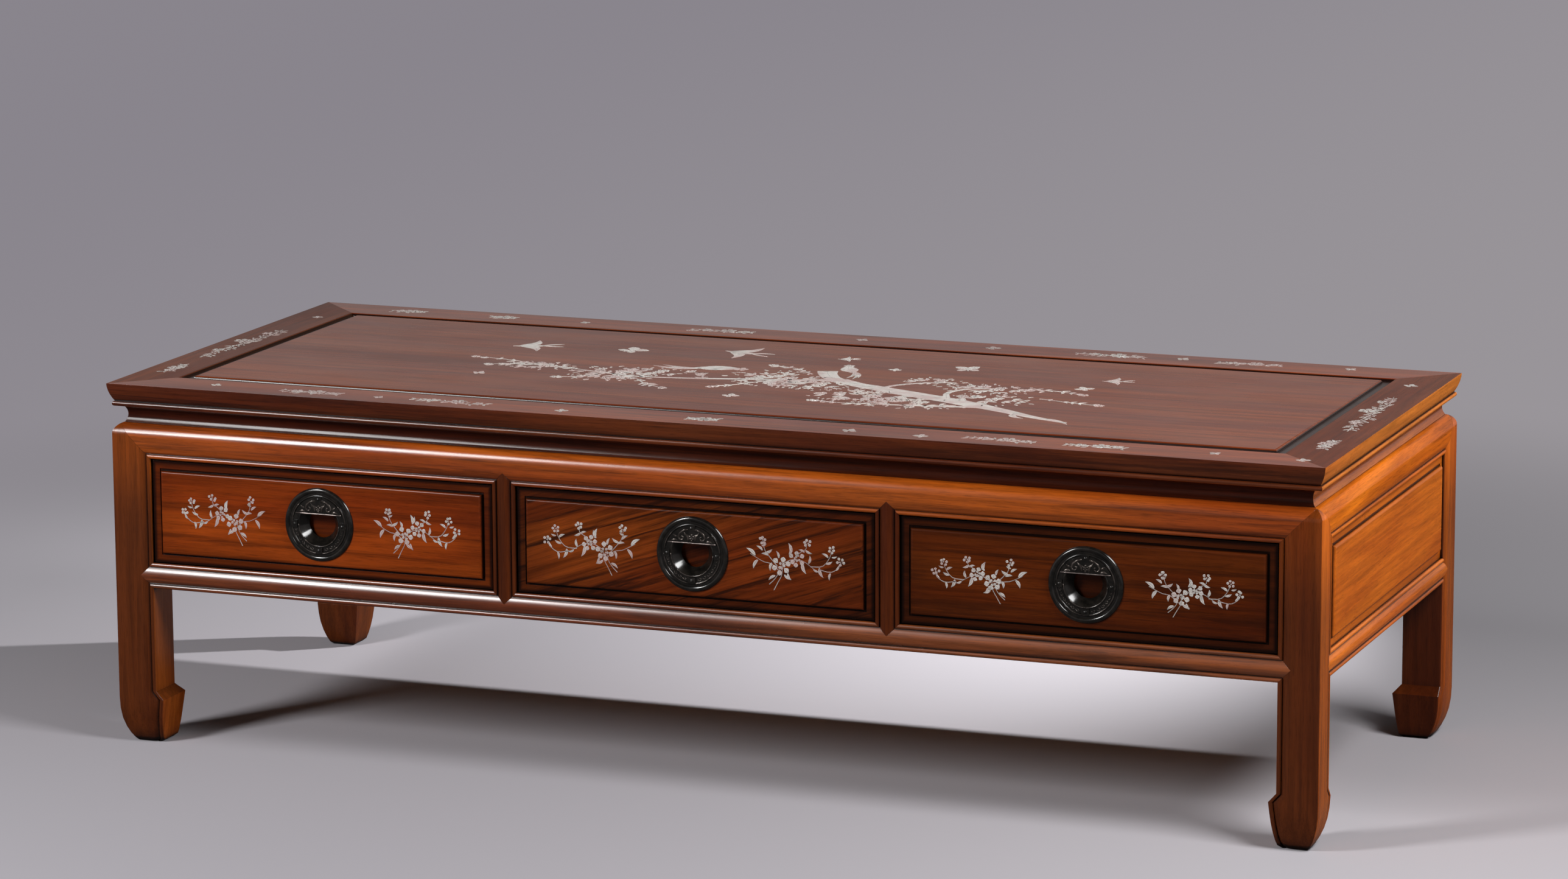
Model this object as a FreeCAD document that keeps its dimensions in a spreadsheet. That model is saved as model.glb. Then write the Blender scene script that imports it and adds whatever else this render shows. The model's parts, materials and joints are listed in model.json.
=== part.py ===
import FreeCAD, Part
import math
import os
import Sketcher
from FreeCAD import Placement, Rotation, Vector

# Low rosewood table, in millimetres: X runs along its length, the front looks to -Y and Z points up.
# The origin is on the floor under the middle of the table.

doc = FreeCAD.newDocument("LowTable")
sheet = doc.addObject("Spreadsheet::Sheet", "Sizes")

SAME_SPOT = 1e-6
FULL_TURN = 360.0

# Driving dimensions of the table, each written once, in the sheet

DRIVING_SIZES = {
    # the whole table
    "top_length": 1370.0,
    "top_depth": 555.0,
    "table_height": 402.4,
    # heights of the parts of the frame, from the top down
    "top_thickness": 25.5,
    "waist_height": 18.5,
    "apron_height": 37.8,
    "opening_height": 115.6,
    "rail_height": 28.6,
    # top frame and its floating panel
    "frame_width": 57.5,
    "edge_undercut": 6.7,
    "edge_bulge": 1.4,
    "top_bead_height": 5.6,
    "top_bead_rise": 2.6,
    "panel_joint_drop": 3.0,
    "panel_joint_run": 4.3,
    "panel_joint_bulge": 0.5,
    "panel_border": 8.6,
    "panel_rise": 3.4,
    "panel_round": 3.2,
    "panel_thickness": 13.2,
    "panel_tongue_drop": 1.5,
    "panel_tongue_thickness": 5.0,
    "panel_tongue_depth": 8.0,
    # battens under the top panel
    "batten_width": 32.0,
    "batten_height": 20.0,
    "batten_spacing": 400.0,
    "batten_tenon_height": 10.0,
    "batten_tenon_length": 12.0,
    # waist
    "waist_top_inset": 13.0,
    "waist_foot_inset": 14.0,
    "waist_hollow": 3.6,
    "waist_thickness": 15.0,
    # frame members below the waist
    "face_inset": 3.2,
    "shoulder_height": 14.0,
    "shoulder_bulge": 3.0,
    "apron_thickness": 20.0,
    "member_bead": 5.2,
    "bead_rise": 2.1,
    "quirk_depth": 3.4,
    "roll_width": 9.0,
    "roll_bulge": 0.8,
    # legs
    "leg_width": 45.4,
    "leg_arris": 2.0,
    "leg_arris_bulge": 0.6,
    "leg_tenon_width": 16.0,
    "leg_tenon_entry": 12.0,
    # hoof foot: heights above the floor, how far the inner edges stand out, how far the outer faces draw in
    "hoof_ledge_height": 60.0,
    "hoof_toe_height": 50.5,
    "hoof_toe_reach": 8.5,
    "hoof_upper_height": 38.0,
    "hoof_upper_reach": 7.0,
    "hoof_upper_draw": 0.6,
    "hoof_middle_height": 27.0,
    "hoof_middle_reach": 5.7,
    "hoof_middle_draw": 2.2,
    "hoof_lower_height": 17.0,
    "hoof_lower_reach": 4.3,
    "hoof_lower_draw": 5.1,
    "hoof_heel_height": 9.0,
    "hoof_heel_reach": 3.0,
    "hoof_heel_draw": 8.6,
    "hoof_sole_height": 3.0,
    "hoof_sole_reach": 1.6,
    "hoof_sole_draw": 12.2,
    "hoof_floor_reach": -2.4,
    "hoof_floor_draw": 15.0,
    # rails and dividers
    "rail_thickness": 24.0,
    "shoulder_thickness": 12.0,
    "rail_tenon_setback": 4.0,
    "rail_tenon_height": 15.0,
    "rail_tenon_clearance": 4.4,
    "divider_width": 27.0,
    "divider_thickness": 20.0,
    # fixed panels at the sides and the back
    "face_setback": 5.0,
    "side_board_thickness": 10.0,
    "side_tongue_thickness": 6.0,
    "side_tongue_depth": 5.0,
    # raised field, the same on the panels and the drawer fronts
    "field_border": 8.6,
    "field_groove_width": 1.8,
    "field_groove_depth": 1.0,
    "field_rise": 4.0,
    "field_round": 3.4,
    # drawers
    "drawer_side_gap": 1.5,
    "drawer_top_gap": 1.4,
    "drawer_foot_gap": 1.0,
    "drawer_front_thickness": 20.0,
    "drawer_back_gap": 49.6,
    "drawer_headroom": 19.3,
    "drawer_board": 11.0,
    "drawer_bottom_thickness": 6.0,
    "drawer_bottom_rise": 7.0,
    "drawer_groove_depth": 5.0,
    "drawer_lap": 9.0,
    "running_gap": 0.3,
    # runners
    "runner_margin": 4.0,
    "runner_thickness": 10.0,
    "guide_height": 30.0,
    "guide_gap": 0.6,
    "stop_length": 20.0,
    "stop_height": 12.0,
    # round flush pulls: widths from the mouth outwards, then heights and depths
    "pull_mouth_radius": 22.7,
    "pull_ridge_width": 2.2,
    "pull_band_width": 5.6,
    "pull_margin": 2.0,
    "pull_rim_width": 5.8,
    "pull_rim_rise": 2.0,
    "pull_band_height": 1.2,
    "pull_ridge_rise": 0.9,
    "pull_throat_slope": 7.3,
    "pull_skirt_depth": 8.0,
    "pull_wall": 1.5,
    "pull_lip_rise": 11.3,
    "pull_lip_height": 2.2,
    "pull_plate_reach": 7.3,
    "pull_recess_gap": 1.4,
    "pull_recess_depth": 12.5,
    "pull_tab_width": 6.4,
    "pull_tab_length": 8.0,
    "pull_tab_height": 2.8,
    "pin_radius": 1.1,
    "pin_head_radius": 2.0,
    "pin_head_rise": 1.0,
    "pin_length": 13.0,
    # how far a cutting shape runs past the wood
    "overrun": 20.0,
}


class Size:
    """A length: its value in millimetres and the formula that ties it to the sheet."""

    def __init__(self, value, formula):
        self.value = value
        self.formula = formula

    def join(self, other, sign, value, swap=False):
        text = other.formula if isinstance(other, Size) else repr(other)
        first, second = (text, self.formula) if swap else (self.formula, text)
        return Size(value, f"({first} {sign} {second})")

    def __add__(self, other):
        return self.join(other, "+", self.value + number(other))

    def __radd__(self, other):
        return self.join(other, "+", self.value + number(other), swap=True)

    def __sub__(self, other):
        return self.join(other, "-", self.value - number(other))

    def __rsub__(self, other):
        return self.join(other, "-", number(other) - self.value, swap=True)

    def __mul__(self, other):
        return self.join(other, "*", self.value * number(other))

    def __rmul__(self, other):
        return self.join(other, "*", self.value * number(other), swap=True)

    def __truediv__(self, other):
        return self.join(other, "/", self.value / number(other))

    def __neg__(self):
        return Size(-self.value, f"(-1 * {self.formula})")


def number(length):
    """The plain value of a Size, or of a zero."""
    return length.value if isinstance(length, Size) else length


def root(length):
    """Square root of a Size."""
    return Size(math.sqrt(length.value), f"sqrt({length.formula})")


size = {}
for row, (alias, value) in enumerate(DRIVING_SIZES.items(), start=1):
    sheet.set(f"A{row}", alias.replace("_", " "))
    sheet.set(f"B{row}", str(value))
    sheet.setAlias(f"B{row}", alias)
    size[alias] = Size(value, f"Sizes.{alias}")
doc.recompute()


def bind(thing, prop, length):
    """Tie one property of an object to the formula of a Size. What stays zero needs no formula."""
    if isinstance(length, Size):
        thing.setExpression(prop, length.formula)


def seat(thing, x=0, y=0, z=0, turn=0):
    """Put an object in its place: turned about Z by whole quarter turns, its base tied to the sheet."""
    base = Vector(number(x), number(y), number(z))
    thing.Placement = Placement(base, Rotation(Vector(0, 0, 1), turn))
    for axis, length in (("x", x), ("y", y), ("z", z)):
        bind(thing, f"Placement.Base.{axis}", length)


def new_body(label):
    """An empty body for one piece."""
    body = doc.addObject("PartDesign::Body", label)
    body.Label = label
    return body


def origin_plane(body, role):
    """One of the body's own origin planes, such as XY_Plane."""
    return next(item for item in body.Origin.OriginFeatures if item.Role == role)


def place_point(sketch, edge, end, point):
    """Fix one end of an edge at a point whose coordinates are Sizes or zero."""
    for axis, kind, line in ((0, "DistanceX", -2), (1, "DistanceY", -1)):
        length = point[axis]
        if isinstance(length, Size):
            row = sketch.addConstraint(Sketcher.Constraint(kind, -1, 1, edge, end, length.value))
            sketch.setExpression(f"Constraints[{row}]", length.formula)
        else:
            sketch.addConstraint(Sketcher.Constraint("PointOnObject", edge, end, line))


def add_edge(sketch, start, stop, bulge):
    """A straight edge, or an arc whose height over its chord is the bulge, positive to the left."""
    if bulge is None:
        return sketch.addGeometry(Part.LineSegment(start, stop))
    run = stop - start
    left = Vector(-run.y, run.x, 0).normalize()
    return sketch.addGeometry(Part.Arc(start, (start + stop) * 0.5 + left * bulge.value, stop))


def arc_radius(start, stop, bulge):
    """Radius of the arc between two corners, from its chord and its bulge."""
    across = stop[0] - start[0]
    along = stop[1] - start[1]
    height = bulge if bulge.value > 0 else -bulge
    return ((across * across + along * along) / 4 + height * height) / (2 * height)


def draw_outline(sketch, corners):
    """A closed outline. A corner is (x, y), or (x, y, bulge) where an arc leads on to the next corner."""
    count = len(corners)
    spots = [Vector(number(corner[0]), number(corner[1]), 0) for corner in corners]
    bulges = [corner[2] if len(corner) == 3 else None for corner in corners]
    edges = [add_edge(sketch, spots[i], spots[(i + 1) % count], bulges[i]) for i in range(count)]
    heads = []
    for edge, spot in zip(edges, spots):
        heads.append(1 if sketch.getPoint(edge, 1).isEqual(spot, SAME_SPOT) else 2)
    for index, corner in enumerate(corners):
        after = (index + 1) % count
        ends = (edges[index], 3 - heads[index], edges[after], heads[after])
        sketch.addConstraint(Sketcher.Constraint("Coincident", *ends))
        place_point(sketch, edges[index], heads[index], corner)
        if bulges[index] is not None:
            radius = arc_radius(corner, corners[after], bulges[index])
            row = sketch.addConstraint(Sketcher.Constraint("Radius", edges[index], radius.value))
            sketch.setExpression(f"Constraints[{row}]", radius.formula)


def draw_circle(sketch, x, y, radius):
    """A circle whose centre and radius are tied to the sheet."""
    circle = sketch.addGeometry(Part.Circle(Vector(number(x), number(y), 0), Vector(0, 0, 1), radius.value))
    row = sketch.addConstraint(Sketcher.Constraint("Radius", circle, radius.value))
    sketch.setExpression(f"Constraints[{row}]", radius.formula)
    place_point(sketch, circle, 3, (x, y))


def new_sketch(body, role, outlines, height=0):
    """A sketch on one of the body's origin planes, moved along the plane's normal by a height."""
    sketch = body.newObject("Sketcher::SketchObject", f"{body.Name}_sketch")
    sketch.AttachmentSupport = [(origin_plane(body, role), "")]
    sketch.MapMode = "FlatFace"
    sketch.AttachmentOffset = Placement(Vector(0, 0, number(height)), Rotation())
    bind(sketch, "AttachmentOffset.Base.z", height)
    for corners in outlines:
        draw_outline(sketch, corners)
    return sketch


def pad(body, role, outlines, length, start=0, both=False):
    """Add the prism of the outlines: along the plane's normal, or half its length to each side."""
    feature = body.newObject("PartDesign::Pad", f"{body.Name}_pad")
    feature.Profile = new_sketch(body, role, outlines, start)
    feature.SideType = "Symmetric" if both else "One side"
    bind(feature, "Length", length)
    return feature


def cut_through(body, role, outlines):
    """Cut outlines right through the body, both ways from the plane."""
    feature = body.newObject("PartDesign::Pocket", f"{body.Name}_cut")
    feature.Profile = new_sketch(body, role, outlines)
    feature.Type = "ThroughAll"
    feature.SideType = "Symmetric"
    return feature


def sink(body, sketch, depth):
    """Cut the sketch's shape into the body by a depth, against the normal of its plane."""
    feature = body.newObject("PartDesign::Pocket", f"{body.Name}_sinking")
    feature.Profile = sketch
    feature.Type = "Length"
    feature.SideType = "One side"
    bind(feature, "Length", depth)
    return feature


def turn_solid(body, corners):
    """Turn an outline, drawn as radius and depth, once round the body's Y axis."""
    sketch = new_sketch(body, "XY_Plane", [corners])
    feature = body.newObject("PartDesign::Revolution", f"{body.Name}_turned")
    feature.Profile = sketch
    feature.ReferenceAxis = (sketch, ["V_Axis"])
    feature.Angle = FULL_TURN
    return feature


def rectangle(x_low, x_high, y_low, y_high):
    """Corners of a rectangle, in order."""
    return [(x_low, y_low), (x_high, y_low), (x_high, y_high), (x_low, y_high)]


def mirrored(corners):
    """The same straight-sided outline on the other side of the middle."""
    return [(-corner[0], corner[1]) for corner in reversed(corners)]


def both_ends(corners):
    """An outline at one end, and its mirror image at the other."""
    return [corners, mirrored(corners)]


def subtract(label, base, tools):
    """One piece less the pieces that are let into it."""
    bundle = doc.addObject("Part::Compound", f"{label}_joints")
    bundle.Links = tools
    piece = doc.addObject("Part::Cut", label)
    piece.Base = base
    piece.Tool = bundle
    return piece


pieces = {}


def keep(label, piece):
    """Name a finished piece as one of the table's parts."""
    piece.Label = label
    pieces[label] = piece
    return piece


# Sizes and places that several pieces share

ZERO = Size(0.0, "0")
over = size["overrun"]
half_length = size["top_length"] / 2
half_depth = size["top_depth"] / 2
panel_face = size["table_height"]
panel_ledge = panel_face - size["panel_rise"]
frame_face = panel_ledge + size["panel_joint_drop"]
frame_underside = frame_face - size["top_thickness"]
waist_underside = frame_underside - size["waist_height"]
opening_top = waist_underside - size["apron_height"]
opening_foot = opening_top - size["opening_height"]
rail_underside = opening_foot - size["rail_height"]
face = size["face_inset"]
quirk = face + size["quirk_depth"]
leg_back = face + size["leg_width"]
inner_half_length = half_length - leg_back
inner_half_depth = half_depth - leg_back
half_divider = size["divider_width"] / 2
bay_width = (2 * inner_half_length - 2 * size["divider_width"]) / 3
bay_pitch = bay_width + size["divider_width"]
divider_place = bay_pitch / 2
border_face = face + size["face_setback"]

# The four sides: the turn that brings a member there, half the side's length, half its opening, and
# the middle of the top's edge

SIDES = {
    "front": {"turn": 0, "half": half_length, "inner": inner_half_length, "x": 0, "y": -half_depth},
    "back": {"turn": 180, "half": half_length, "inner": inner_half_length, "x": 0, "y": half_depth},
    "left": {"turn": -90, "half": half_depth, "inner": inner_half_depth, "x": -half_length, "y": 0},
    "right": {"turn": 90, "half": half_depth, "inner": inner_half_depth, "x": half_length, "y": 0},
}


def seat_on_side(piece, side):
    """Lay a piece whose X runs along the side and whose Y runs inwards from the top's edge."""
    seat(piece, side["x"], side["y"], 0, side["turn"])


def mitre_ends(body, half, inward):
    """Cut both ends on the diagonals that run in from the corners of the top."""
    corner = [
        (half + over, -over),
        (half + over, inward + over),
        (half - inward - over, inward + over),
    ]
    return cut_through(body, "XY_Plane", both_ends(corner))


# Leg posts: a beaded square with a rounded shoulder and a tenon at its head and a hoof at its foot

waist_back = size["waist_top_inset"] + size["waist_thickness"]
leg_place_x = half_length - face
leg_place_y = half_depth - face


def leg_section(draw, reach):
    """Plan of the leg from its outer corner: two faces, each with a bead along its inner edge."""
    edge = size["leg_width"] + reach
    bead = edge - size["member_bead"]
    roll = bead - size["roll_width"]
    groove = draw + size["quirk_depth"]
    arris = draw + size["leg_arris"]
    return [
        (arris, draw),
        (roll, draw, -size["roll_bulge"]),
        (bead, groove, -size["bead_rise"]),
        (edge, groove),
        (edge, edge),
        (groove, edge, -size["bead_rise"]),
        (groove, bead, -size["roll_bulge"]),
        (draw, roll),
        (draw, arris, -size["leg_arris_bulge"]),
    ]


HOOF_LEVELS = ["ledge", "toe", "upper", "middle", "lower", "heel", "sole", "floor"]


def hoof_plan(body, level):
    """Plan of the hoof at one of its levels."""
    draw = size.get(f"hoof_{level}_draw", ZERO)
    reach = size.get(f"hoof_{level}_reach", ZERO)
    height = size.get(f"hoof_{level}_height", 0)
    return new_sketch(body, "XY_Plane", [leg_section(draw, reach)], height)


def shoulder_waste():
    """What is cut from the head of a leg, so that it rounds over as the aprons do."""
    shoulder_foot = waist_underside - size["shoulder_height"]
    shoulder_inset = size["waist_foot_inset"] - face
    return [
        (0, shoulder_foot, size["shoulder_bulge"]),
        (shoulder_inset, waist_underside),
        (shoulder_inset, waist_underside + over),
        (-over, waist_underside + over),
        (-over, shoulder_foot),
    ]


def leg_post(label):
    """A whole leg, before the aprons, rails and panels are let into it."""
    body = new_body(label)
    ledge = size["hoof_ledge_height"]
    pad(body, "XY_Plane", [leg_section(ZERO, ZERO)], waist_underside - ledge, ledge)
    cut_through(body, "XZ_Plane", [shoulder_waste()])
    cut_through(body, "YZ_Plane", [shoulder_waste()])
    tenon_near = waist_back - face
    tenon_far = tenon_near + size["leg_tenon_width"]
    tenon = rectangle(tenon_near, tenon_far, tenon_near, tenon_far)
    pad(body, "XY_Plane", [tenon], size["waist_height"] + size["leg_tenon_entry"], waist_underside)
    plans = [hoof_plan(body, level) for level in HOOF_LEVELS]
    hoof = body.newObject("PartDesign::AdditiveLoft", f"{label}_hoof")
    hoof.Profile = plans[0]
    hoof.Sections = plans[1:]
    hoof.Ruled = True
    return body


# The four corners: the turn that brings a leg there, the signs of its place, and the sides that meet

LEGS = {
    "leg_front_left": {"turn": 0, "x": -leg_place_x, "y": -leg_place_y, "sides": ["front", "left"]},
    "leg_front_right": {"turn": 90, "x": leg_place_x, "y": -leg_place_y, "sides": ["front", "right"]},
    "leg_back_right": {"turn": 180, "x": leg_place_x, "y": leg_place_y, "sides": ["back", "right"]},
    "leg_back_left": {"turn": -90, "x": -leg_place_x, "y": leg_place_y, "sides": ["back", "left"]},
}

posts = {}
for name, leg in LEGS.items():
    posts[name] = leg_post(f"{name}_post")
    seat(posts[name], leg["x"], leg["y"], 0, leg["turn"])


def posts_at(side_name):
    """The two leg posts at the ends of one side."""
    return [posts[name] for name, leg in LEGS.items() if side_name in leg["sides"]]


# Aprons: bead, quirk, face and shoulder, mitred to each other in plan and to the legs on the face

apron_back = face + size["apron_thickness"]


def apron_profile():
    """Section of an apron: depth from the top's edge, and height."""
    bead_top = opening_top + size["member_bead"]
    return [
        (quirk, opening_top, size["bead_rise"]),
        (quirk, bead_top, size["roll_bulge"]),
        (face, bead_top + size["roll_width"]),
        (face, waist_underside - size["shoulder_height"], size["shoulder_bulge"]),
        (size["waist_foot_inset"], waist_underside),
        (apron_back, waist_underside),
        (apron_back, opening_top),
    ]


def apron_blank(name, side):
    """An apron before the dividers and panels are let into it."""
    body = new_body(f"apron_{name}_blank")
    pad(body, "YZ_Plane", [apron_profile()], 2 * side["half"], both=True)
    mitre_ends(body, side["half"], apron_back)
    far = side["half"] + size["apron_height"] + over
    beside_leg = [
        (side["inner"] - over, opening_top - over),
        (far, opening_top - over),
        (far, waist_underside + over),
        (side["inner"] + size["apron_height"] + over, waist_underside + over),
    ]
    cut_through(body, "XZ_Plane", both_ends(beside_leg))
    seat_on_side(body, side)
    return body


apron_blanks = {name: apron_blank(name, side) for name, side in SIDES.items()}


def housing(label, outlines, depth, side, place=0):
    """The room that a member takes from its neighbours, open to the front, down to a depth."""
    body = new_body(label)
    pad(body, "XZ_Plane", outlines, depth + over, -depth)
    if side["turn"] in (90, -90):
        seat(body, side["x"], place, 0, side["turn"])
    else:
        seat(body, place, side["y"], 0, side["turn"])
    return body


def apron_housing(name, side):
    """The room of an apron's mitred ends in the two legs."""
    inner = side["inner"]
    end = [
        (inner - over, opening_top),
        (inner, opening_top),
        (inner + size["apron_height"], waist_underside),
        (inner - over, waist_underside),
    ]
    return housing(f"apron_{name}_housing", both_ends(end), apron_back, side)


apron_housings = {name: apron_housing(name, side) for name, side in SIDES.items()}

# Lower rails: a half-round between two beads, with pointed shoulders and tenons at the ends

rail_back = face + size["rail_thickness"]
shoulder_back = face + size["shoulder_thickness"]
rail_point = size["rail_height"] / 2
rail_middle = rail_underside + rail_point


def rail_profile():
    """Section of a lower rail: depth from the top's edge, and height."""
    return [
        (quirk, rail_underside, size["bead_rise"]),
        (quirk, rail_underside + size["member_bead"], size["quirk_depth"]),
        (quirk, opening_foot - size["member_bead"], size["bead_rise"]),
        (quirk, opening_foot),
        (rail_back, opening_foot),
        (rail_back, rail_underside),
    ]


def rail_blank(name, side):
    """A lower rail before the dividers, runners and panels are let into it."""
    body = new_body(f"rail_{name}_blank")
    inner = side["inner"]
    far = inner + rail_point + over
    pad(body, "YZ_Plane", [rail_profile()], 2 * (inner + rail_point), both=True)
    above_point = [(inner - over, opening_foot + over), (far, opening_foot + over), (far, rail_middle - over)]
    below_point = [
        (inner - over, rail_underside - over),
        (far, rail_middle + over),
        (far, rail_underside - over),
    ]
    cut_through(body, "XZ_Plane", both_ends(above_point))
    cut_through(body, "XZ_Plane", both_ends(below_point))
    cut_through(body, "XY_Plane", both_ends(rectangle(inner, far, shoulder_back, rail_back + over)))
    half_tenon = size["rail_tenon_height"] / 2
    tenon_back = rail_back - size["rail_tenon_setback"]
    tenon_length = leg_back - tenon_back - size["rail_tenon_clearance"]
    tenon = rectangle(shoulder_back, tenon_back, rail_middle - half_tenon, rail_middle + half_tenon)
    pad(body, "YZ_Plane", [tenon], 2 * (inner + tenon_length), both=True)
    seat_on_side(body, side)
    return body


rail_blanks = {name: rail_blank(name, side) for name, side in SIDES.items()}


def rail_housing(name, side):
    """The room of a rail's pointed shoulders in the two legs."""
    inner = side["inner"]
    point = [
        (inner - over, rail_underside),
        (inner, rail_underside),
        (inner + rail_point, rail_middle),
        (inner, opening_foot),
        (inner - over, opening_foot),
    ]
    return housing(f"rail_{name}_housing", both_ends(point), shoulder_back, side)


rail_housings = {name: rail_housing(name, side) for name, side in SIDES.items()}

# Dividers between the drawers, and in the same places at the back, pointed at both ends

divider_back = face + size["divider_thickness"]


def divider_blank(label, side, place):
    """An upright with the rails' half-round and beads, pointed into the apron and the rail."""
    body = new_body(label)
    bead = half_divider - size["member_bead"]
    plan = [
        (-half_divider, divider_back),
        (-half_divider, quirk, -size["bead_rise"]),
        (-bead, quirk, -size["quirk_depth"]),
        (bead, quirk, -size["bead_rise"]),
        (half_divider, quirk),
        (half_divider, divider_back),
    ]
    height = size["opening_height"] + size["divider_width"]
    pad(body, "XY_Plane", [plan], height, opening_foot - half_divider)
    wide = half_divider + over
    beside_head = [(wide, opening_top - over), (wide, opening_top + wide), (-over, opening_top + wide)]
    beside_foot = [(wide, opening_foot + over), (wide, opening_foot - wide), (-over, opening_foot - wide)]
    cut_through(body, "XZ_Plane", [beside_head])
    cut_through(body, "XZ_Plane", [mirrored(beside_head)])
    cut_through(body, "XZ_Plane", [beside_foot])
    cut_through(body, "XZ_Plane", [mirrored(beside_foot)])
    seat(body, place, side["y"], 0, side["turn"])
    return body


divider_points = [
    (half_divider, opening_foot),
    (half_divider, opening_top),
    (0, opening_top + half_divider),
    (-half_divider, opening_top),
    (-half_divider, opening_foot),
    (0, opening_foot - half_divider),
]
divider_blanks = {}
divider_housings = {"front": [], "back": [], "left": [], "right": []}
for side_name in ("front", "back"):
    side = SIDES[side_name]
    for hand, place in (("left", -divider_place), ("right", divider_place)):
        label = f"divider_{side_name}_{hand}"
        divider_blanks[label] = divider_blank(f"{label}_blank", side, place)
        room = housing(f"{label}_housing", [divider_points], divider_back, side, place)
        divider_housings[side_name].append(room)

# A raised field with a rounded edge and a fine groove round it, on panels and drawer fronts alike


def round_over(body, feature, axis, level, radius):
    """Round the edges of a feature that lie whole in the plane across an axis at one level."""
    doc.recompute()
    names = []
    for index, edge in enumerate(feature.Shape.Edges, start=1):
        box = edge.BoundBox
        ends = (getattr(box, f"{axis}Min"), getattr(box, f"{axis}Max"))
        if all(abs(end - level.value) < SAME_SPOT for end in ends):
            names.append(f"Edge{index}")
    rounded = body.newObject("PartDesign::Fillet", f"{body.Name}_rounding")
    rounded.Base = (feature, names)
    bind(rounded, "Radius", radius)


def raise_field(body, half_width, low, high):
    """Groove the border's inner edge, raise the field inside it and round the field over."""
    border = size["field_border"]
    groove = border + size["field_groove_width"]
    ring = [
        rectangle(border - half_width, half_width - border, low + border, high - border),
        rectangle(groove - half_width, half_width - groove, low + groove, high - groove),
    ]
    sink(body, new_sketch(body, "XZ_Plane", ring, -border_face), size["field_groove_depth"])
    field_face = border_face - size["field_rise"]
    field = rectangle(groove - half_width, half_width - groove, low + groove, high - groove)
    floor = border_face + size["field_groove_depth"]
    raised = pad(body, "XZ_Plane", [field], size["field_rise"] + size["field_groove_depth"], -floor)
    round_over(body, raised, "Y", field_face, size["field_round"])
    return body


# Fixed panels at the sides and the back: a board with a tongue all round and a raised field


def fixed_panel(label, side, half_width, place=0):
    """One panel, filling its opening, its tongue let into the members round it."""
    body = new_body(label)
    thickness = size["side_board_thickness"]
    tongue_depth = size["side_tongue_depth"]
    tongue_thickness = size["side_tongue_thickness"]
    board = rectangle(-half_width, half_width, opening_foot, opening_top)
    board_back = border_face + thickness
    pad(body, "XZ_Plane", [board], thickness, -board_back)
    tongue = rectangle(
        -half_width - tongue_depth,
        half_width + tongue_depth,
        opening_foot - tongue_depth,
        opening_top + tongue_depth,
    )
    pad(body, "XZ_Plane", [tongue], tongue_thickness, (tongue_thickness - thickness) / 2 - board_back)
    raise_field(body, half_width, opening_foot, opening_top)
    if side["turn"] in (90, -90):
        seat(body, side["x"], place, 0, side["turn"])
    else:
        seat(body, place, side["y"], 0, side["turn"])
    return keep(label, body)


BAYS = {"left": -bay_pitch, "middle": 0, "right": bay_pitch}
back = SIDES["back"]
panels_at = {
    "front": [],
    "back": [fixed_panel(f"panel_back_{name}", back, bay_width / 2, place) for name, place in BAYS.items()],
    "left": [fixed_panel("panel_left", SIDES["left"], inner_half_depth)],
    "right": [fixed_panel("panel_right", SIDES["right"], inner_half_depth)],
}

# Runners for the drawers: a bearer with a guide standing on it, from the front rail to the back rail


def runner_blank(label, outline, place):
    """One runner along Y, its ends housed in the rails up to the dividers' backs."""
    body = new_body(label)
    pad(body, "XZ_Plane", [outline], 2 * (half_depth - divider_back), both=True)
    seat(body, place)
    return body


bearer_reach = size["drawer_side_gap"] + size["drawer_board"] + size["runner_margin"]
bearer_foot = opening_foot - size["runner_thickness"]
guide_top = opening_foot + size["guide_height"]
guide_reach = size["drawer_side_gap"] - size["guide_gap"]


def stepped(bearer_low, bearer_high, guide_low, guide_high):
    """Section of a runner: a bearer, and a guide that stands on it."""
    return [
        (bearer_low, bearer_foot),
        (bearer_high, bearer_foot),
        (bearer_high, opening_foot),
        (guide_high, opening_foot),
        (guide_high, guide_top),
        (guide_low, guide_top),
        (guide_low, opening_foot),
        (bearer_low, opening_foot),
    ]


middle_bearer = half_divider + bearer_reach
middle_guide = half_divider + guide_reach
middle_section = stepped(-middle_bearer, middle_bearer, -middle_guide, middle_guide)
end_outer = half_length - rail_back
end_section = [
    (inner_half_length - bearer_reach, bearer_foot),
    (end_outer, bearer_foot),
    (end_outer, guide_top),
    (inner_half_length - guide_reach, guide_top),
    (inner_half_length - guide_reach, opening_foot),
    (inner_half_length - bearer_reach, opening_foot),
]
runners = []
for hand, place in (("left", -divider_place), ("right", divider_place)):
    label = f"runner_middle_{hand}"
    runners.append(keep(label, runner_blank(label, middle_section, place)))
for hand, section in (("left", mirrored(end_section)), ("right", end_section)):
    label = f"runner_end_{hand}"
    blank = runner_blank(f"{label}_blank", section, 0)
    near_posts = [post for name, post in posts.items() if name.endswith(hand)]
    runners.append(keep(label, subtract(label, blank, near_posts)))

# The carcass, with every piece let into its neighbours

for name, leg in LEGS.items():
    let_in = []
    for side_name in leg["sides"]:
        let_in += [apron_housings[side_name], rail_housings[side_name]]
        let_in += [rail_blanks[side_name], *panels_at[side_name]]
    keep(name, subtract(name, posts[name], let_in))

for side_name in SIDES:
    in_apron = divider_housings[side_name] + panels_at[side_name]
    in_rail = in_apron + (runners if side_name in ("front", "back") else [])
    label = f"apron_{side_name}"
    keep(label, subtract(label, apron_blanks[side_name], in_apron) if in_apron else apron_blanks[side_name])
    label = f"rail_{side_name}"
    keep(label, subtract(label, rail_blanks[side_name], in_rail))

for label, blank in divider_blanks.items():
    keep(label, subtract(label, blank, panels_at["back"]) if "_back_" in label else blank)

# Waist: four coved boards, mitred at the corners

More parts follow.
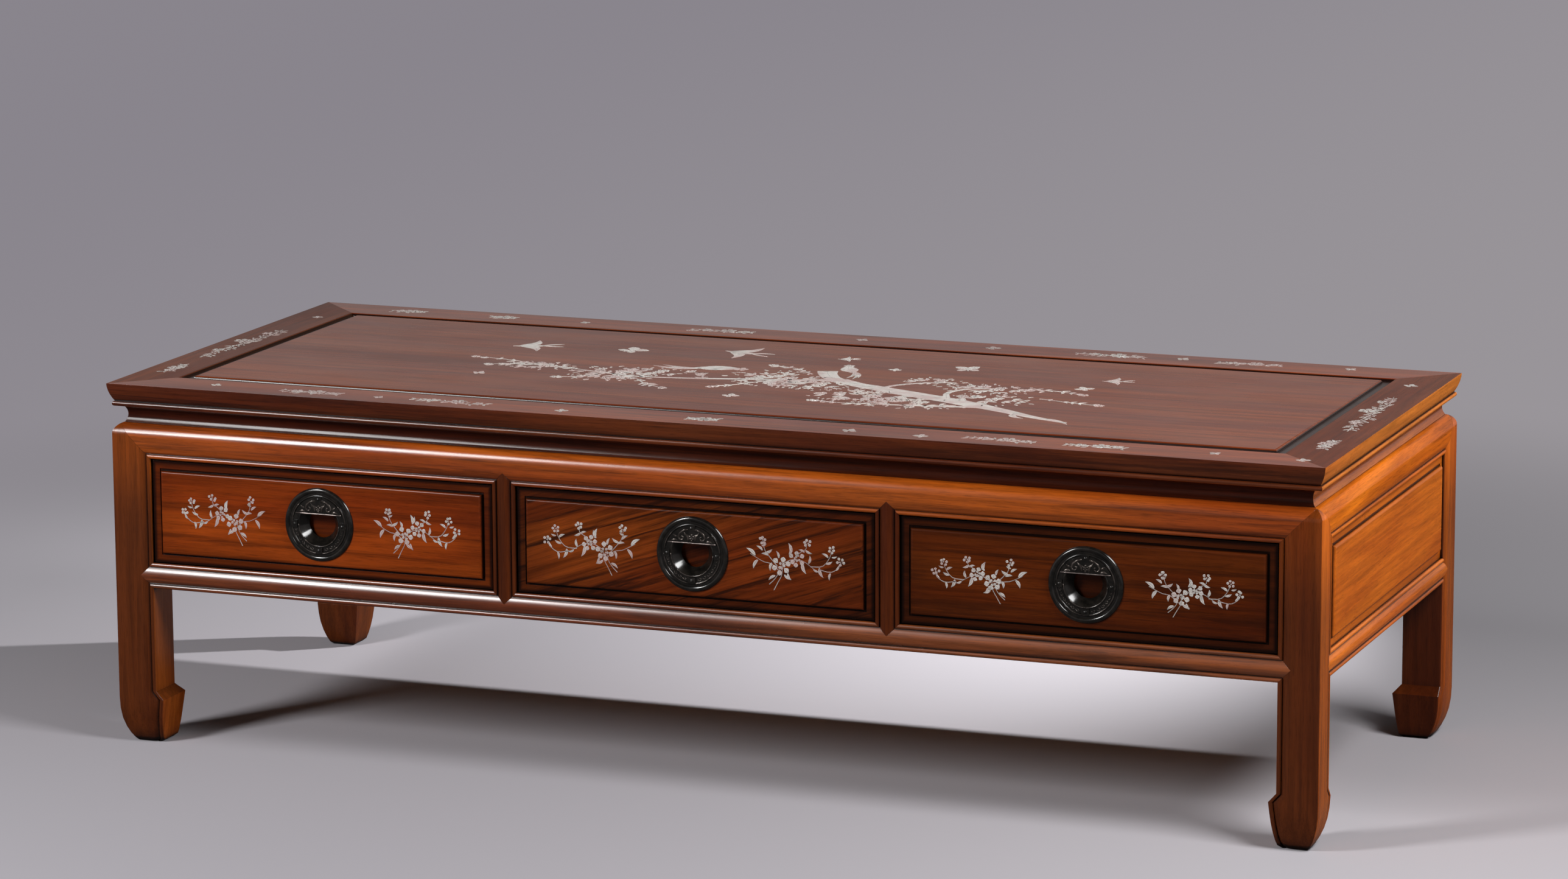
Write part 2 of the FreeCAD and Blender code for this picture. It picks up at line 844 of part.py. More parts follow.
for name, side in SIDES.items():
    body = new_body(f"waist_{name}")
    cove = [
        (size["waist_foot_inset"], waist_underside, -size["waist_hollow"]),
        (size["waist_top_inset"], frame_underside),
        (waist_back, frame_underside),
        (waist_back, waist_underside),
    ]
    pad(body, "YZ_Plane", [cove], 2 * side["half"], both=True)
    mitre_ends(body, side["half"], waist_back)
    seat_on_side(body, side)
    keep(f"waist_{name}", body)

# Top panel: a floating board whose tongue lies in the frame's groove, with a sunk border round its field

panel_opening = size["frame_width"] + size["panel_joint_run"]
panel_underside = panel_face - size["panel_thickness"]
tongue_top = panel_ledge - size["panel_tongue_drop"]
tongue_foot = tongue_top - size["panel_tongue_thickness"]
groove_floor = panel_opening - size["panel_tongue_depth"]


def inset_rectangle(inset):
    """The outline of the top drawn in by an inset."""
    return rectangle(inset - half_length, half_length - inset, inset - half_depth, half_depth - inset)


top_panel = keep("top_panel", new_body("top_panel"))
pad(top_panel, "XY_Plane", [inset_rectangle(panel_opening)], panel_ledge - panel_underside, panel_underside)
pad(top_panel, "XY_Plane", [inset_rectangle(groove_floor)], size["panel_tongue_thickness"], tongue_foot)
field = inset_rectangle(panel_opening + size["panel_border"])
raised = pad(top_panel, "XY_Plane", [field], size["panel_rise"], panel_ledge)
round_over(top_panel, raised, "Z", panel_face, size["panel_round"])

# Battens across the underside of the top panel, tenoned into the frame

battens = {}
for name, place in (("left", -size["batten_spacing"]), ("middle", 0), ("right", size["batten_spacing"])):
    body = new_body(f"batten_{name}")
    half_batten = size["batten_width"] / 2
    batten_foot = panel_underside - size["batten_height"]
    tenon_foot = panel_underside - size["batten_tenon_height"]
    clear_length = 2 * (half_depth - panel_opening)
    bar = rectangle(-half_batten, half_batten, batten_foot, panel_underside)
    tenon = rectangle(-half_batten, half_batten, tenon_foot, panel_underside)
    pad(body, "XZ_Plane", [bar], clear_length, both=True)
    pad(body, "XZ_Plane", [tenon], clear_length + 2 * size["batten_tenon_length"], both=True)
    seat(body, place)
    battens[name] = keep(f"batten_{name}", body)

# Top frame: four mitred members with an undercut edge, a bead below it and a groove for the panel

frame_profile = [
    (size["edge_undercut"], frame_underside, size["top_bead_rise"]),
    (size["edge_undercut"], frame_underside + size["top_bead_height"], size["edge_bulge"]),
    (0, frame_face),
    (size["frame_width"], frame_face, size["panel_joint_bulge"]),
    (panel_opening, panel_ledge),
    (panel_opening, tongue_top),
    (groove_floor, tongue_top),
    (groove_floor, tongue_foot),
    (panel_opening, tongue_foot),
    (panel_opening, frame_underside),
]
for name, side in SIDES.items():
    label = f"top_frame_{name}"
    body = new_body(f"{label}_blank")
    pad(body, "YZ_Plane", [frame_profile], 2 * side["half"], both=True)
    mitre_ends(body, side["half"], panel_opening)
    seat_on_side(body, side)
    crossing = list(battens.values()) if name in ("front", "back") else []
    keep(label, subtract(label, body, posts_at(name) + crossing))

# Drawers: a front with a raised field, a box lapped into it, and a flush pull held by four pins

half_bay = bay_width / 2
half_front = half_bay - size["drawer_side_gap"]
front_foot = opening_foot + size["drawer_foot_gap"]
front_top = opening_top - size["drawer_top_gap"]
front_back = border_face + size["drawer_front_thickness"]
field_face = border_face - size["field_rise"]
box_foot = opening_foot + size["running_gap"]
box_top = opening_top - size["drawer_headroom"]
box_front = front_back - size["drawer_lap"]
box_end = size["top_depth"] - rail_back - size["drawer_back_gap"]
board = size["drawer_board"]
bottom_foot = box_foot + size["drawer_bottom_rise"]
bottom_top = bottom_foot + size["drawer_bottom_thickness"]
pull_height = (front_foot + front_top) / 2

band_face = -size["pull_band_height"]
mouth = size["pull_mouth_radius"]
lip_outer = mouth + size["pull_ridge_width"]
ridge_inner = lip_outer + size["pull_band_width"]
ridge_outer = ridge_inner + size["pull_ridge_width"]
rim_inner = ridge_outer + size["pull_margin"]
rim_outer = rim_inner + size["pull_rim_width"]
throat = mouth - size["pull_throat_slope"]
wall = size["pull_wall"]
plate_radius = mouth + size["pull_plate_reach"]
recess_radius = mouth + wall + size["pull_recess_gap"]
tab_place = recess_radius + size["pin_radius"] + size["pull_recess_gap"]


def pull_pins(label):
    """Four dome-headed pins that hold a pull, set through its four tabs."""
    pins = []
    head_face = -size["pull_tab_height"]
    head_radius = size["pin_head_radius"]
    head_rise = size["pin_head_rise"]
    dome_radius = (head_radius * head_radius + head_rise * head_rise) / (2 * head_rise)
    dome_bulge = dome_radius - root(dome_radius * dome_radius - dome_radius * head_rise / 2)
    outline = [
        (0, head_face - head_rise, -dome_bulge),
        (head_radius, head_face),
        (size["pin_radius"], head_face),
        (size["pin_radius"], size["pin_length"]),
        (0, size["pin_length"]),
    ]
    for index, (x, z) in enumerate(((tab_place, 0), (0, tab_place), (-tab_place, 0), (0, -tab_place))):
        pin = new_body(f"{label}_{index}")
        turn_solid(pin, outline)
        seat(pin, x, 0, z)
        pins.append(pin)
    group = doc.addObject("Part::Compound", label)
    group.Links = pins
    return group


def pull_casting(label):
    """The flush pull: a rounded rim, a ridged band, a sloping throat, a half-moon lip and four tabs."""
    body = new_body(label)
    turned = [
        (rim_outer, 0, size["pull_rim_rise"]),
        (rim_inner, band_face),
        (ridge_outer, band_face, size["pull_ridge_rise"]),
        (ridge_inner, band_face),
        (lip_outer, band_face, size["pull_ridge_rise"]),
        (mouth, band_face),
        (throat, size["pull_skirt_depth"]),
        (throat + wall, size["pull_skirt_depth"]),
        (mouth + wall, 0),
    ]
    turn_solid(body, turned)
    behind_lip = rectangle(-mouth - over, mouth + over, size["pull_lip_rise"], mouth + over)
    sink(body, new_sketch(body, "XZ_Plane", [behind_lip]), size["pull_skirt_depth"] + over)
    lip_rise = size["pull_lip_rise"]
    half_chord = root(plate_radius * plate_radius - lip_rise * lip_rise)
    half_moon = [(half_chord, lip_rise, lip_rise - plate_radius), (-half_chord, lip_rise)]
    pad(body, "XZ_Plane", [half_moon], size["pull_lip_height"])
    half_tab = size["pull_tab_length"] / 2
    near = tab_place - size["pull_tab_width"] / 2
    far = tab_place + size["pull_tab_width"] / 2
    tabs = [
        rectangle(near, far, -half_tab, half_tab),
        rectangle(-far, -near, -half_tab, half_tab),
        rectangle(-half_tab, half_tab, near, far),
        rectangle(-half_tab, half_tab, -far, -near),
    ]
    pad(body, "XZ_Plane", tabs, size["pull_tab_height"])
    return body


def drawer_front_blank(label):
    """The drawer front with its raised field and the round sinking behind the pull."""
    body = new_body(label)
    board_outline = rectangle(-half_front, half_front, front_foot, front_top)
    pad(body, "XZ_Plane", [board_outline], size["drawer_front_thickness"], -front_back)
    raise_field(body, half_front, front_foot, front_top)
    round_sketch = new_sketch(body, "XZ_Plane", [], -field_face)
    draw_circle(round_sketch, 0, pull_height, recess_radius)
    sink(body, round_sketch, size["pull_recess_depth"])
    return body


def drawer_board(label, outline, start, length, place):
    """One board of a drawer box, drawn in plan and carried up from its foot."""
    body = new_body(label)
    pad(body, "XY_Plane", [outline], length, start)
    seat(body, place, -half_depth)
    return body


cheek_plans = {
    "left": rectangle(-half_front, board - half_front, box_front, box_end),
    "right": rectangle(half_front - board, half_front, box_front, box_end),
}
half_inside = half_front - board + size["drawer_groove_depth"]
back_plan = rectangle(-half_inside, half_inside, box_end - board, box_end)
bottom_front = front_back - size["drawer_groove_depth"]
bottom_plan = rectangle(-half_inside, half_inside, bottom_front, box_end)
stop_front = box_end + size["running_gap"]
stop_end = stop_front + size["stop_length"]
stop_plans = {
    "left": rectangle(-half_front, board - half_front, stop_front, stop_end),
    "right": rectangle(half_front - board, half_front, stop_front, stop_end),
}

stops = []
for name, place in BAYS.items():
    front = drawer_front_blank(f"drawer_front_{name}_blank")
    seat(front, place, -half_depth)
    label = f"drawer_bottom_{name}"
    bottom = keep(label, drawer_board(label, bottom_plan, bottom_foot, bottom_top - bottom_foot, place))
    label = f"drawer_back_{name}"
    back = keep(label, drawer_board(label, back_plan, bottom_top, box_top - bottom_top, place))
    cheeks = []
    for hand in ("left", "right"):
        label = f"drawer_side_{name}_{hand}"
        blank = drawer_board(f"{label}_blank", cheek_plans[hand], box_foot, box_top - box_foot, place)
        cheeks.append(blank)
        keep(label, subtract(label, blank, [bottom, back]))
        label = f"drawer_stop_{name}_{hand}"
        stops.append(drawer_board(label, stop_plans[hand], opening_foot, size["stop_height"], place))
    pins = pull_pins(f"pull_pins_{name}")
    casting = pull_casting(f"pull_{name}_blank")
    for fitting in (pins, casting):
        seat(fitting, place, field_face - half_depth, pull_height)
    keep(f"pull_pins_{name}", pins)
    keep(f"pull_{name}", subtract(f"pull_{name}", casting, [pins]))
    keep(f"drawer_front_{name}", subtract(f"drawer_front_{name}", front, [*cheeks, bottom, pins]))

# Stops glued on the runners, one behind each side of a drawer

drawer_stops = doc.addObject("Part::Compound", "drawer_stops")
drawer_stops.Links = stops
keep("drawer_stops", drawer_stops)

# Check every object, then write each piece to its own file

doc.recompute()
for thing in doc.Objects:
    if "Invalid" in thing.State or "Error" in thing.State:
        raise RuntimeError(f"{thing.Label} did not build: {thing.State}")
for label, piece in pieces.items():
    if piece.Shape.isNull() or not piece.Shape.isValid():
        raise RuntimeError(f"{label} has no valid shape")
    if not piece.Shape.Solids:
        raise RuntimeError(f"{label} holds no solid")

os.makedirs("parts", exist_ok=True)
for label, piece in pieces.items():
    piece.Shape.exportStep(f"parts/{label}.step")
print(f"{len(pieces)} pieces written")
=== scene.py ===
# %% [markdown]
# # A low rosewood table
# The joinery is already modelled: every leg, rail, panel and drawer board arrives as a fixed frame of
# solids. What is left to Blender is what the eye reads as wood, lacquer, pearl and old metal.

# %% Load the table
import json
import math

import bmesh
import bpy
import numpy as np
from mathutils import Matrix, Vector

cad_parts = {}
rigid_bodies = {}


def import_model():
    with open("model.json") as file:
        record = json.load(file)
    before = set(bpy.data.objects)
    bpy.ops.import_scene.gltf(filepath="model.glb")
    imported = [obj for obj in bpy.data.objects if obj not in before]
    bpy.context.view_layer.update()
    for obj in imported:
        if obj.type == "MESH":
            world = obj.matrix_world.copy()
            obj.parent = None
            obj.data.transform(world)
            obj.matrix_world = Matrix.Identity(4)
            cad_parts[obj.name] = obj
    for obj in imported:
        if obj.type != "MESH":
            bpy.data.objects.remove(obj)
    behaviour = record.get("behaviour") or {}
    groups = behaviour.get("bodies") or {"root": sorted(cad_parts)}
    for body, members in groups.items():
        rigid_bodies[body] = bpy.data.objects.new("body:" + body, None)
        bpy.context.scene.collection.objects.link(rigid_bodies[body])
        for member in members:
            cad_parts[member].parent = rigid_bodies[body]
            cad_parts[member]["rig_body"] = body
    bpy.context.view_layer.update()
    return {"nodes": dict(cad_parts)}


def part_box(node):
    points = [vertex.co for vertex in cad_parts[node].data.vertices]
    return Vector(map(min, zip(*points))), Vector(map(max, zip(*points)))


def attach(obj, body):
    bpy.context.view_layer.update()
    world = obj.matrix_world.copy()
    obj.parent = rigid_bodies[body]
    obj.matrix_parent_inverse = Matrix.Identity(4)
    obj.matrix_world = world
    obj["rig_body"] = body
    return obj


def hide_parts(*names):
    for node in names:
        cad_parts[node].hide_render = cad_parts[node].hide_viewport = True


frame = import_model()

nodes = frame["nodes"]
print("pieces of joinery:", len(nodes))

# %% [markdown]
# # The camera
# A long lens looks down on the table from the front right. A camera could be aimed with a constraint,
# but three perpendicular directions, solved from the table's own corners, place it exactly, and the
# long focal length keeps the far corner nearly as large as the near one.

# %% Place the camera
LENS_MM = 125.33
camera_right = Vector((0.93328, 0.35911, -0.00453))
camera_up = Vector((-0.06544, 0.18245, 0.98103))
camera_back = Vector((0.35313, -0.91529, 0.19378))
camera_place = Vector((2.10402, -5.45840, 1.48932))

lens = bpy.data.cameras.new("studio_camera")
lens.sensor_fit = "HORIZONTAL"
lens.sensor_width = 36.0
lens.lens = LENS_MM
lens.clip_end = 100.0
camera = bpy.data.objects.new("studio_camera", lens)
turn = Matrix((camera_right, camera_up, camera_back)).transposed()
camera.matrix_world = Matrix.Translation(camera_place) @ turn.to_4x4()
bpy.context.scene.collection.objects.link(camera)
bpy.context.scene.camera = camera
print("camera stands at", tuple(camera_place))

# %% [markdown]
# # Small helpers for materials
# A procedural material is a chain of nodes. Every node could be added and wired on its own, but short
# helpers, for a node with its settings, a sum, a noise, a colour ramp, a mix or a change of range, keep
# each recipe readable as a list of steps.

# %% Node helpers
def new_material(name):
    """An empty node material, its Principled shader and its tree."""
    material = bpy.data.materials.new(name)
    material.use_nodes = True
    tree = material.node_tree
    tree.nodes.clear()
    shader = tree.nodes.new("ShaderNodeBsdfPrincipled")
    output = tree.nodes.new("ShaderNodeOutputMaterial")
    tree.links.new(shader.outputs["BSDF"], output.inputs["Surface"])
    return material, shader, tree


def feed(tree, value, socket):
    """Wires a socket, or sets it to a plain value."""
    if isinstance(value, bpy.types.NodeSocket):
        tree.links.new(value, socket)
    else:
        socket.default_value = value


def wire(tree, made, **inputs):
    """Feeds a node's inputs, whose names have underscores for their spaces."""
    for key, value in inputs.items():
        feed(tree, value, made.inputs[key.replace("_", " ")])


def node(tree, kind, settings=(), **inputs):
    """One node: settings are its properties, inputs its socket values or the sockets that feed them."""
    made = tree.nodes.new(kind)
    for key, value in dict(settings).items():
        setattr(made, key, value)
    wire(tree, made, **inputs)
    return made


def sums(tree, operation, *values):
    """The result of a Math node on one, two or three values or sockets."""
    made = node(tree, "ShaderNodeMath", {"operation": operation})
    for index, value in enumerate(values):
        feed(tree, value, made.inputs[index])
    return made.outputs[0]


def coordinates(tree, kind):
    """Texture coordinates: Object is the place in metres, Normal the way that a face looks."""
    return node(tree, "ShaderNodeTexCoord").outputs[kind]


def parts(tree, vector):
    """The parts of a vector, named X, Y and Z."""
    return node(tree, "ShaderNodeSeparateXYZ", Vector=vector).outputs


def noise(tree, vector, scale, detail, rough, bend=0.0):
    """A cloudy value between zero and one."""
    made = node(tree, "ShaderNodeTexNoise", Vector=vector, Scale=scale, Detail=detail, Roughness=rough,
                Distortion=bend)
    return made.outputs["Fac"]


def ramp(tree, factor, stops):
    """A colour ramp: stops are (place, grey or colour), read at the factor."""
    made = tree.nodes.new("ShaderNodeValToRGB")
    made.color_ramp.interpolation = "EASE"
    elements = made.color_ramp.elements
    while len(elements) < len(stops):
        elements.new(0.5)
    for element, (place, colour) in zip(elements, stops):
        element.position = place
        element.color = (*colour, 1.0) if isinstance(colour, tuple) else (colour, colour, colour, 1.0)
    tree.links.new(factor, made.inputs["Fac"])
    return made.outputs["Color"]


def blend_colours(tree, factor, first, second, mode="MIX"):
    """Two colours mixed by a factor, each a socket or a plain colour."""
    made = node(tree, "ShaderNodeMix", {"data_type": "RGBA", "blend_type": mode, "clamp_result": True})
    for index, value in ((0, factor), (6, first), (7, second)):
        feed(tree, (*value, 1.0) if isinstance(value, tuple) else value, made.inputs[index])
    return made.outputs[2]


def bump(tree, height, strength, depth):
    """The direction of a surface that a height raises by a depth in metres."""
    return node(tree, "ShaderNodeBump", Height=height, Strength=strength, Distance=depth).outputs["Normal"]


def remap(tree, value, first, last, low=0.0, high=1.0, kind="LINEAR"):
    """A value between first and last, moved to between low and high, and held at these beyond."""
    made = node(tree, "ShaderNodeMapRange", {"interpolation_type": kind}, Value=value, From_Min=first,
                From_Max=last, To_Min=low, To_Max=high)
    return made.outputs["Result"]


def smooth_step(tree, value, first, last, top=1.0):
    """Zero below the first value, the top above the last, and a smooth change between."""
    return remap(tree, value, first, last, 0.0, top, "SMOOTHSTEP")


print("helpers ready")

# %% [markdown]
# # Rosewood
# Rosewood is a dense red-brown wood with near-black streaks and short open pores, all drawn out along
# the grain. A photograph of a board would be the quick way, but a picture repeats and has a scale of its
# own, so the grain is worked out from noise instead: object coordinates are squeezed along the grain,
# a slow noise gives the light and deep zones, a stretched one the dark streaks and a fine one the
# pores. Every groove is darkened by ambient occlusion, which paints shade into the colour and stands
# also for old lacquer gone dark there: a short reach draws the black line in the quirk, a long one the
# brown painted shade beside it.

# %% The rosewood recipe
GRAIN_TURNS = {"x": (0, 0, 0), "y": (0, 0, math.pi / 2), "z": (0, math.pi / 2, 0)}
# The groove black is painted shade, and stands also for old lacquer gone dark in the grooves.
GROOVE_STAIN_AND_SHADE = (0.0040, 0.0014, 0.0009)
QUIRK_REACH_M = 0.0070
HOLLOW_REACH_M = 0.018
# Strengths and places of painted shade on the drawer fronts: the step, which is also dark stain, the sunk
# border, the field's rim and a band beside the gap.
STEP_TOP_M, STEP_FOOT_M = 0.0006, 0.003
STEP_FLAT, STEP_STEEP = 0.86, 0.45
RIM_REACH_X_M, RIM_REACH_Z_M = 0.05, 0.028
GAP_SHADE_START_M, GAP_SHADE_END_M = 0.0078, 0.0108
JOINT_TOP_M, JOINT_FOOT_M = 0.0003, 0.0009
SUNK_SHADE, RIM_SHADE = 0.62, 0.28
STEP_BLACK, GAP_SHADE_BLACK, JOINT_BLACK = 0.92, 0.9, 0.94


def field_masks(tree, place, field):
    """Two masks for a drawer front: a dull one and a black one.

    The dull one is painted shade on the sunk border and the rim of the raised field. The black one is the
    rounded step between them, dark stain and painted shade, and painted shade in a band along the front's
    outer edge, beside the gap.
    """
    middle, half_width, height, half_height, face = field
    at = parts(tree, place)
    dull = remap(tree, at["Y"], face + STEP_TOP_M, face + STEP_FOOT_M, 0.0, SUNK_SHADE)
    facing = sums(tree, "ABSOLUTE", parts(tree, coordinates(tree, "Normal"))["Y"])
    line = remap(tree, facing, STEP_FLAT, STEP_STEEP, 0.0, STEP_BLACK)
    for axis, centre, half, reach in (
        ("X", middle, half_width, RIM_REACH_X_M),
        ("Z", height, half_height, RIM_REACH_Z_M),
    ):
        # Painted shade: darker towards the field's rim, and black in a band beside the gap round the front.
        away = sums(tree, "ABSOLUTE", sums(tree, "SUBTRACT", at[axis], centre))
        rim = smooth_step(tree, away, half - reach, half, RIM_SHADE)
        gap_shade = remap(tree, away, half + GAP_SHADE_START_M, half + GAP_SHADE_END_M, 0.0, GAP_SHADE_BLACK)
        dull = sums(tree, "MAXIMUM", dull, rim)
        line = sums(tree, "MAXIMUM", line, gap_shade)
    return dull, line


def joint_mask(tree, place, face, half_length, half_depth):
    """Nearly one in the sunk joint between the top's frame and its panel, zero on their faces."""
    at = parts(tree, place)
    mask = remap(tree, at["Z"], face - JOINT_TOP_M, face - JOINT_FOOT_M, 0.0, JOINT_BLACK)
    for axis, half in (("X", half_length), ("Y", half_depth)):
        inside = sums(tree, "LESS_THAN", sums(tree, "ABSOLUTE", at[axis]), half)
        mask = sums(tree, "MULTIPLY", mask, inside)
    return mask


def rosewood(name, grain, tone, streak, gloss, sheen, shade=0.5, slant=0.0, shift=0.0, alone=False,
             field=None, joint=None, turned=None, upper=None, ior=1.5):
    """Lacquered rosewood of a mean tone, whose grain runs along one axis, leaning by a slant.

    Streak is how strong the figure is, shade how brown the painted shade in the hollows is, and shift
    picks another plank. Alone keeps the neighbours out of that painted shade. Field and joint are what the
    masks above need. Turned is an axis and a factor for the colour of the faces that look along it, painted
    light that makes them lighter or darker. Upper is two heights and a factor that the colour reaches
    between them.
    """
    material, shader, tree = new_material(f"rosewood_{name}")
    red, green, blue = tone
    spread = min(0.5 + streak, 1.0)
    light = (red * (1 + 0.30 * spread), green * (1 + 0.45 * spread), blue * (1 + 0.30 * spread))
    deep = (red * (1 - 0.16 * spread), green * (1 - 0.26 * spread), blue * (1 - 0.20 * spread))
    black = (red * 0.10 + 0.005, green * 0.10 + 0.002, blue * 0.2 + 0.001)
    contrast = 0.30 + 0.6 * streak
    place = coordinates(tree, "Object")
    turn_x, turn_y, turn_z = GRAIN_TURNS[grain]
    aligned = node(
        tree, "ShaderNodeMapping", Vector=place,
        Rotation=(turn_x, turn_y + slant, turn_z), Location=(shift, shift * 0.37, shift * 0.71),
    ).outputs["Vector"]

    def drawn_out(along, across, detail, rough, bend=0.0):
        """Noise squeezed by one factor along the grain and by another across it."""
        squeezed = node(tree, "ShaderNodeMapping", Vector=aligned, Scale=(along, across, across))
        return noise(tree, squeezed.outputs["Vector"], 1.0, detail, rough, bend)

    zones = drawn_out(2.0, 15.0, 3.0, 0.55, 0.5)
    figure = drawn_out(5.0, 170.0, 5.0, 0.65, 0.3)
    streaks = drawn_out(3.4, 95.0, 6.0, 0.68, 0.8)
    pores = drawn_out(60.0, 1500.0, 2.0, 0.5)

    base = ramp(tree, zones, [(0.36, deep), (0.64, light)])
    mottled = ramp(tree, figure, [(0.34, 1 - 0.5 * contrast), (0.66, 1 + 0.32 * contrast)])
    base = blend_colours(tree, 1.0, base, mottled, "MULTIPLY")
    dark = sums(tree, "MULTIPLY", ramp(tree, streaks, [(0.50, 0.0), (0.62, 1.0)]), streak)
    base = blend_colours(tree, dark, base, black)
    pierced = ramp(tree, pores, [(0.36, 0.5), (0.46, 1.05)])
    base = blend_colours(tree, 0.45, base, pierced, "MULTIPLY")

    # Painted light: the faces that look along the turned axis take its factor into their colour.
    if turned:
        axis, factor = turned
        facing = sums(tree, "ABSOLUTE", parts(tree, coordinates(tree, "Normal"))[axis])
        tinted = blend_colours(tree, 1.0, base, factor, "MULTIPLY")
        base = blend_colours(tree, remap(tree, facing, 0.6, 0.95), base, tinted)
    if upper:
        low, high, factor = upper
        tinted = blend_colours(tree, 1.0, base, factor, "MULTIPLY")
        base = blend_colours(tree, smooth_step(tree, parts(tree, place)["Z"], low, high), base, tinted)

    def openness(reach):
        """One on an open face, and less the more a point is closed in within a reach."""
        settings = {"samples": 6, "only_local": alone}
        return node(tree, "ShaderNodeAmbientOcclusion", settings, Distance=reach).outputs["AO"]

    # Painted shade: ambient occlusion darkens the hollows towards the dark colour and the quirks towards the
    # groove black.
    shaded = ramp(tree, openness(HOLLOW_REACH_M), [(0.35, 1.0), (0.92, 0.0)])
    dull = sums(tree, "MULTIPLY", shaded, shade)
    line = ramp(tree, openness(QUIRK_REACH_M), [(0.54, 1.0), (0.93, 0.0)])
    if field:
        sunk, edge = field_masks(tree, place, field)
        dull = sums(tree, "MAXIMUM", dull, sunk)
        line = sums(tree, "MAXIMUM", line, edge)
    if joint:
        line = sums(tree, "MAXIMUM", line, joint_mask(tree, place, *joint))
    base = blend_colours(tree, dull, base, black)
    base = blend_colours(tree, line, base, GROOVE_STAIN_AND_SHADE)
    rough = remap(tree, drawn_out(9.0, 14.0, 4.0, 0.6), 0.3, 0.7, gloss - 0.02, gloss + 0.04)
    wire(tree, shader, Base_Color=base, Roughness=rough, Normal=bump(tree, figure, 0.04, 0.001), IOR=ior,
         Specular_IOR_Level=sheen)
    return material


print("rosewood recipe ready")

# %% [markdown]
# # Plain wood for what is hidden
# Drawer boxes, runners and battens of such a table are left raw and are made of a cheaper, paler wood.
# The same idea of squeezed noise serves, with one soft colour ramp and no lacquer.

# %% The drawer wood recipe
RAW_DEEP, RAW_PALE = (0.18, 0.080, 0.028), (0.37, 0.19, 0.075)


def drawer_wood(name, grain):
    """Raw brown softwood, matt, with the grain along one axis."""
    material, shader, tree = new_material(name)
    place = coordinates(tree, "Object")
    aligned = node(tree, "ShaderNodeMapping", Vector=place, Rotation=GRAIN_TURNS[grain]).outputs["Vector"]
    squeezed = node(tree, "ShaderNodeMapping", Vector=aligned, Scale=(2.0, 90.0, 90.0)).outputs["Vector"]
    rings = noise(tree, squeezed, 1.0, 5.0, 0.6, 0.5)
    base = ramp(tree, rings, [(0.3, RAW_DEEP), (0.7, RAW_PALE)])
    wire(tree, shader, Base_Color=base, Roughness=0.62, Normal=bump(tree, rings, 0.15, 0.001))
    return material


print("drawer wood recipe ready")

# %% [markdown]
# # Old metal for the pulls
# The pulls are cast and have gone nearly black under a thin gloss. Their ridges and relief are a paler
# dark grey, and the lip that fingers rub is paler still, nearly bare: wear, and painted highlight that
# stands for the thin bright lines along them. One recipe with two colours serves all three: a noise
# mixes the deep and the paler patina and roughens it in patches.

# %% The pull metal recipe
def cast_metal(name, deep, pale, metallic, rough_low, rough_high):
    """Cast metal between two colours, rougher where it is paler."""
    material, shader, tree = new_material(name)
    cloud = noise(tree, coordinates(tree, "Object"), 140.0, 4.0, 0.6)
    base = ramp(tree, cloud, [(0.35, deep), (0.72, pale)])
    rough = remap(tree, cloud, 0.0, 1.0, rough_low, rough_high)
    wire(tree, shader, Base_Color=base, Metallic=metallic, Specular_IOR_Level=0.38, IOR=1.6, Roughness=rough,
         Normal=bump(tree, cloud, 0.05, 0.0005))
    return material


print("pull metal recipe ready")

# %% [markdown]
# # Mother-of-pearl
# The inlay is thin shell, silvery with grey-green and pink clouds, and each leaf is engraved with fine
# lines rubbed full of black. The clouds come from noises of one and three centimetres; the engraving
# follows every leaf, so it reads the leaf's own UV map: u runs from the root towards the tip and v
# across, both in centimetres, so that the lines are as fine on a thick trunk as on a small leaf.

# %% The pearl recipe
PEARL_SILVER = (0.72, 0.67, 0.62)
PEARL_PINK = (0.62, 0.47, 0.44)
PEARL_GREY = (0.38, 0.37, 0.33)
ENGRAVED_BLACK = (0.03, 0.018, 0.014)
MIDRIB_HALF_CM = 0.014
BARBS_PER_CM = 6.5
BARB_SLANT = -5.0


def mother_of_pearl(name, strength):
    """Silvery shell of a strength, clouded with pink and grey-green, engraved with a midrib and barbs."""
    material, shader, tree = new_material(name)
    place = coordinates(tree, "Object")
    cloud = noise(tree, place, 95.0, 3.0, 0.6)
    tint = noise(tree, place, 31.0, 2.0, 0.5)
    tones = (PEARL_SILVER, PEARL_PINK, PEARL_GREY)
    silver, pink, grey = (tuple(strength * part for part in tone) for tone in tones)
    base = blend_colours(tree, ramp(tree, tint, [(0.40, 0.0), (0.62, 1.0)]), silver, pink)
    base = blend_colours(tree, ramp(tree, cloud, [(0.50, 0.0), (0.78, 1.0)]), base, grey)
    chart = parts(tree, node(tree, "ShaderNodeUVMap", {"uv_map": "leaf"}).outputs["UV"])
    side = sums(tree, "ABSOLUTE", sums(tree, "SUBTRACT", chart["Y"], 0.5))
    midrib = sums(tree, "LESS_THAN", side, MIDRIB_HALF_CM)
    along = sums(tree, "MULTIPLY", chart["X"], BARBS_PER_CM)
    slanting = sums(tree, "ADD", along, sums(tree, "MULTIPLY", side, BARB_SLANT))
    barbs = sums(tree, "LESS_THAN", sums(tree, "FRACT", slanting), 0.20)
    engraved = sums(tree, "MULTIPLY", sums(tree, "MAXIMUM", midrib, barbs), 0.75)
    base = blend_colours(tree, engraved, base, ENGRAVED_BLACK)
    wire(tree, shader, Base_Color=base, Roughness=0.22, IOR=1.6)
    return material


print("pearl recipe ready")

# %% [markdown]
# # Which board gets which grain
# A joiner runs the grain along every member: lengthways in rails, upright in legs. The boards also come
# from different planks: the ends are a clear orange, the drawer fronts deep red-brown. The nodes' names
# tell which way each one runs, so a few rules pick the material.

